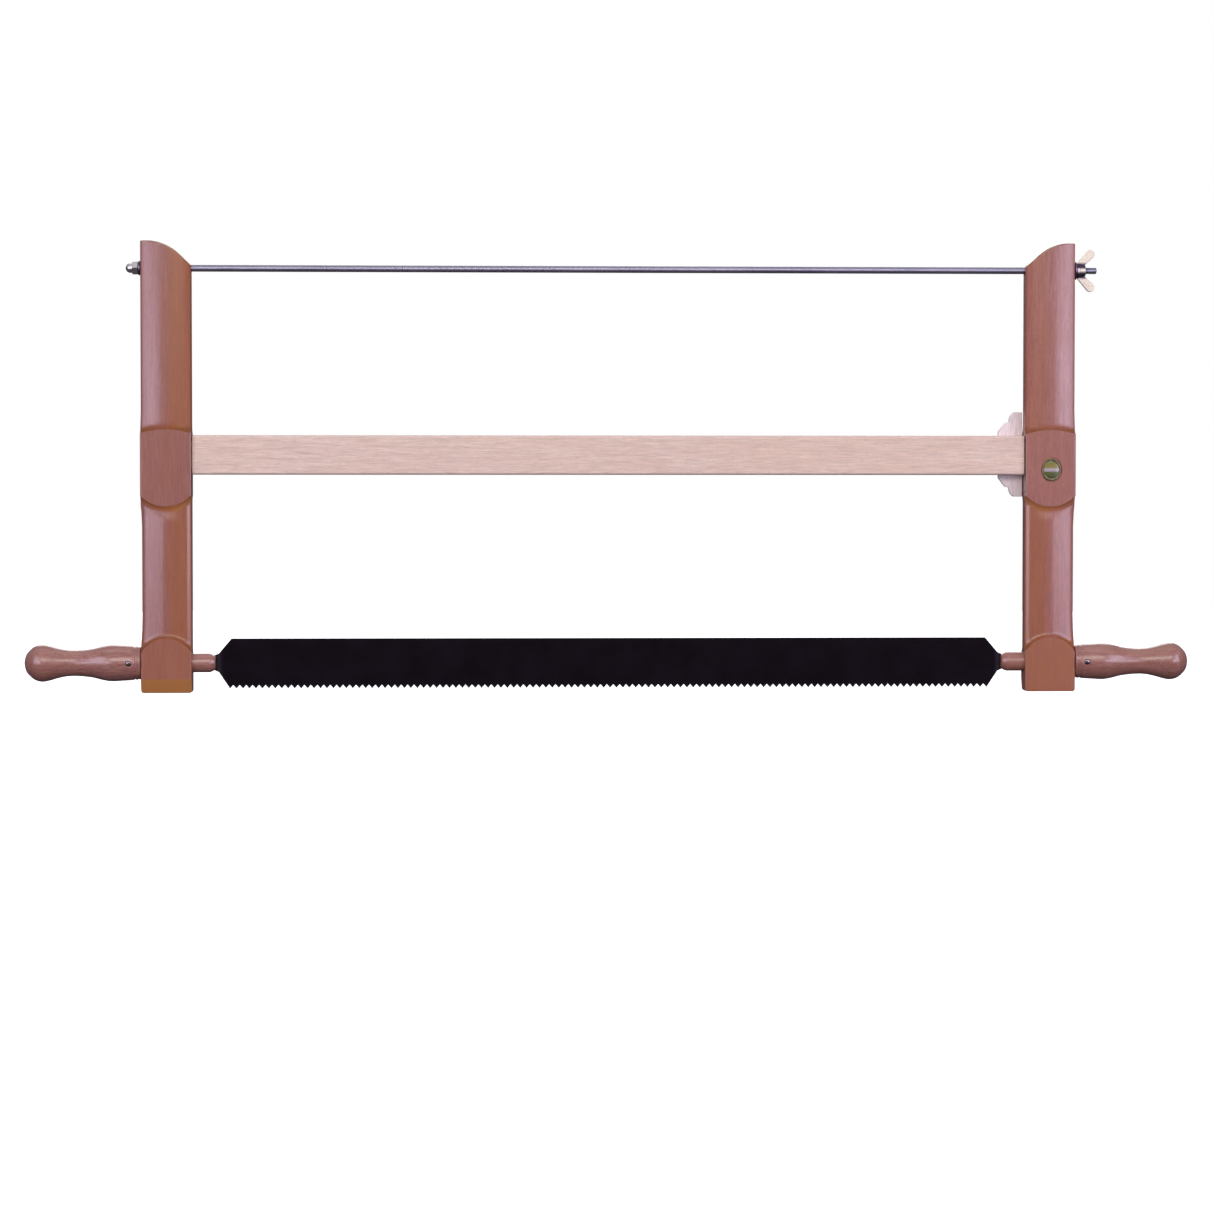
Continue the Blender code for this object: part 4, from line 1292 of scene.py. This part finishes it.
def make_badge(metal, enamel):
    """A beaded rim, and inside it a disc whose edge is a little lower than its middle."""
    low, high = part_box("badge_rim")
    outer, inner = BADGE_RIM, (BADGE_DISC[0] + GAP, BADGE_DISC[1] + GAP)
    front, back = low.y, high.y
    rows = [(outer[0], outer[1], back)]
    for inward, behind in RIM_PROFILE:
        rows.append((outer[0] - inward, outer[1] - inward, front + behind))
    rows += [(inner[0], inner[1], front + GAP), (inner[0], inner[1], back)]
    rim = oval_ring("badge_rim_bronze", rows, metal, True)
    smooth(rim, angle=45)
    place(rim, "right_arm", "badge_metal", "badge_rim")
    low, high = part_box("badge_disc")
    half_width, half_height = BADGE_DISC[:2]
    rows = [(half_width, half_height, high.y), (half_width, half_height, low.y + DISC_EDGE)]
    for share in DISC_SHARES:
        rows.append((half_width * share, half_height * share, low.y + DISC_CROWN * share ** 4))
    disc = oval_ring("badge_disc_enamel", rows, enamel, False)
    smooth(disc, angle=45)
    place(disc, "right_arm", "badge_enamel", "badge_disc")


# ---------------------------------------------------------------- room

def area_light(name, position, target, size, power, color):
    """A rectangular softbox that faces a point."""
    light = bpy.data.lights.new(name, "AREA")
    light.shape = "RECTANGLE"
    light.size, light.size_y = size
    light.energy = power
    light.color = color
    obj = link_object(name, light)
    obj.location = position
    obj.rotation_euler = (Vector(target) - Vector(position)).to_track_quat("-Z", "Y").to_euler()


def make_world():
    """White where the camera sees past the floor; the saw is lit by a dimmer, darker-footed room."""
    world = bpy.data.worlds.new("studio")
    bpy.context.scene.world = world
    world.use_nodes = True
    tree = world.node_tree
    surround = tree.nodes["Background"]
    surround.inputs["Strength"].default_value = 1.0
    links = tree.links
    coords = tree.nodes.new("ShaderNodeTexCoord")
    split = tree.nodes.new("ShaderNodeSeparateXYZ")
    ramp = tree.nodes.new("ShaderNodeValToRGB")
    low, high = ramp.color_ramp.elements
    low.position, low.color = 0.0, (*ROOM_LOW, 1.0)
    high.position, high.color = ROOM_HIGH_AT, (*ROOM_HIGH, 1.0)
    seen = tree.nodes.new("ShaderNodeBackground")
    seen.inputs["Color"].default_value = (1.0, 1.0, 1.0, 1.0)
    choice = tree.nodes.new("ShaderNodeMixShader")
    path = tree.nodes.new("ShaderNodeLightPath")
    links.new(coords.outputs["Generated"], split.inputs[0])
    links.new(split.outputs["Z"], ramp.inputs["Fac"])
    links.new(ramp.outputs["Color"], surround.inputs["Color"])
    links.new(path.outputs["Is Camera Ray"], choice.inputs["Fac"])
    links.new(surround.outputs["Background"], choice.inputs[1])
    links.new(seen.outputs["Background"], choice.inputs[2])
    links.new(choice.outputs["Shader"], tree.nodes["World Output"].inputs["Surface"])


def make_room():
    """A pale round floor, hidden from bounces so that the lamps alone shade the saw, and the lamps."""
    floor = lathe("floor", FLOOR_PROFILE, floor_paper(), axis="Z", segments=128)
    floor.visible_diffuse = False
    floor.visible_glossy = False
    make_world()
    for name, (position, target, size, power, color) in LAMPS.items():
        area_light(name, position, target, size, power, color)


def make_camera():
    """A long lens a little left of the middle and below the saw's half height."""
    data = bpy.data.cameras.new("camera")
    camera = link_object("camera", data)
    bpy.context.scene.camera = camera
    data.sensor_width = CAMERA_SENSOR
    data.lens = CAMERA_LENS
    data.clip_end = CAMERA_REACH
    camera.location = CAMERA_AT
    camera.rotation_euler = [math.radians(angle) for angle in CAMERA_ANGLES]
    bpy.context.scene.view_settings.view_transform = "Standard"


# ---------------------------------------------------------------- the saw


def make_woods():
    """Woods for the left arm, right arm, handles, stretcher and plate."""
    left = wood(
        "steamed_beech_left_arm", "Z",
        ((0.245, 0.080, 0.056), (0.296, 0.103, 0.074), (0.344, 0.132, 0.104), (0.312, 0.099, 0.052)),
        fleck=(0.17, 0.055, 0.036), edge=(0.40, 0.180, 0.150), cove_shade_and_end_grain=COVE_SHADE_AND_END_GRAIN_WOOD, gloss=0.36)
    right = wood(
        "steamed_beech_right_arm", "Z",
        ((0.285, 0.098, 0.078), (0.345, 0.126, 0.102), (0.400, 0.162, 0.138), (0.362, 0.122, 0.070)),
        fleck=(0.18, 0.058, 0.042), edge=(0.43, 0.200, 0.175), cove_shade_and_end_grain=COVE_SHADE_AND_END_GRAIN_WOOD, gloss=0.36)
    grip = wood(
        "steamed_beech_handles", "X",
        ((0.290, 0.120, 0.092), (0.358, 0.162, 0.126), (0.418, 0.210, 0.168), (0.348, 0.148, 0.100)),
        fleck=(0.19, 0.068, 0.050), edge=(0.45, 0.22, 0.18), cove_shade_and_end_grain=(0.2, 0.08, 0.05), gloss=0.30, coat=0.26)
    pale = wood(
        "pale_beech", "X",
        ((0.70, 0.52, 0.41), (0.785, 0.605, 0.49), (0.85, 0.70, 0.58), (0.80, 0.61, 0.46)),
        fleck=(0.60, 0.40, 0.30), edge=(0.66, 0.52, 0.46), cove_shade_and_end_grain=(0.5, 0.35, 0.28), gloss=0.46)
    plate = wood(
        "pale_plate", "Z",
        ((0.84, 0.73, 0.70), (0.90, 0.80, 0.77), (0.94, 0.86, 0.83), (0.91, 0.80, 0.76)),
        fleck=(0.62, 0.46, 0.44), edge=(0.70, 0.58, 0.58), cove_shade_and_end_grain=(0.5, 0.4, 0.4), gloss=0.5)
    return left, right, grip, pale, plate


def make_saw():
    """Every visible piece of the saw."""
    left_wood, right_wood, grip_wood, pale_wood, plate_wood = make_woods()
    bright = steel("bright_steel", (0.78, 0.74, 0.74), (0.50, 0.46, 0.50), roughness=0.34, along="X")
    washer_steel = steel(
        "washer_steel", (0.20, 0.16, 0.25), (0.10, 0.07, 0.13), roughness=0.34, along="Y", stained=0.5)
    pin_steel = steel("pin_steel", (0.26, 0.22, 0.24), (0.16, 0.13, 0.15), roughness=0.24, along="X")
    make_arm("left_arm", -1, left_wood)
    make_arm("right_arm", 1, right_wood)
    make_stretcher(pale_wood)
    make_plate(plate_wood)
    make_rod(drawn_rod())
    make_washer("left_washer", "rod", washer_steel)
    make_washer("right_washer", "nut_washer", washer_steel)
    make_cap_nut(bright)
    make_wing_nut(cast_metal())
    make_blade(blade_steel())
    for side, word in ((-1, "left"), (1, "right")):
        make_handle(word + "_handle", side, grip_wood)
        make_pin(word + "_blade_pin", pin_steel)
    make_badge(badge_rim_metal(), badge_field())


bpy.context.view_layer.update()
make_saw()
make_room()
make_camera()
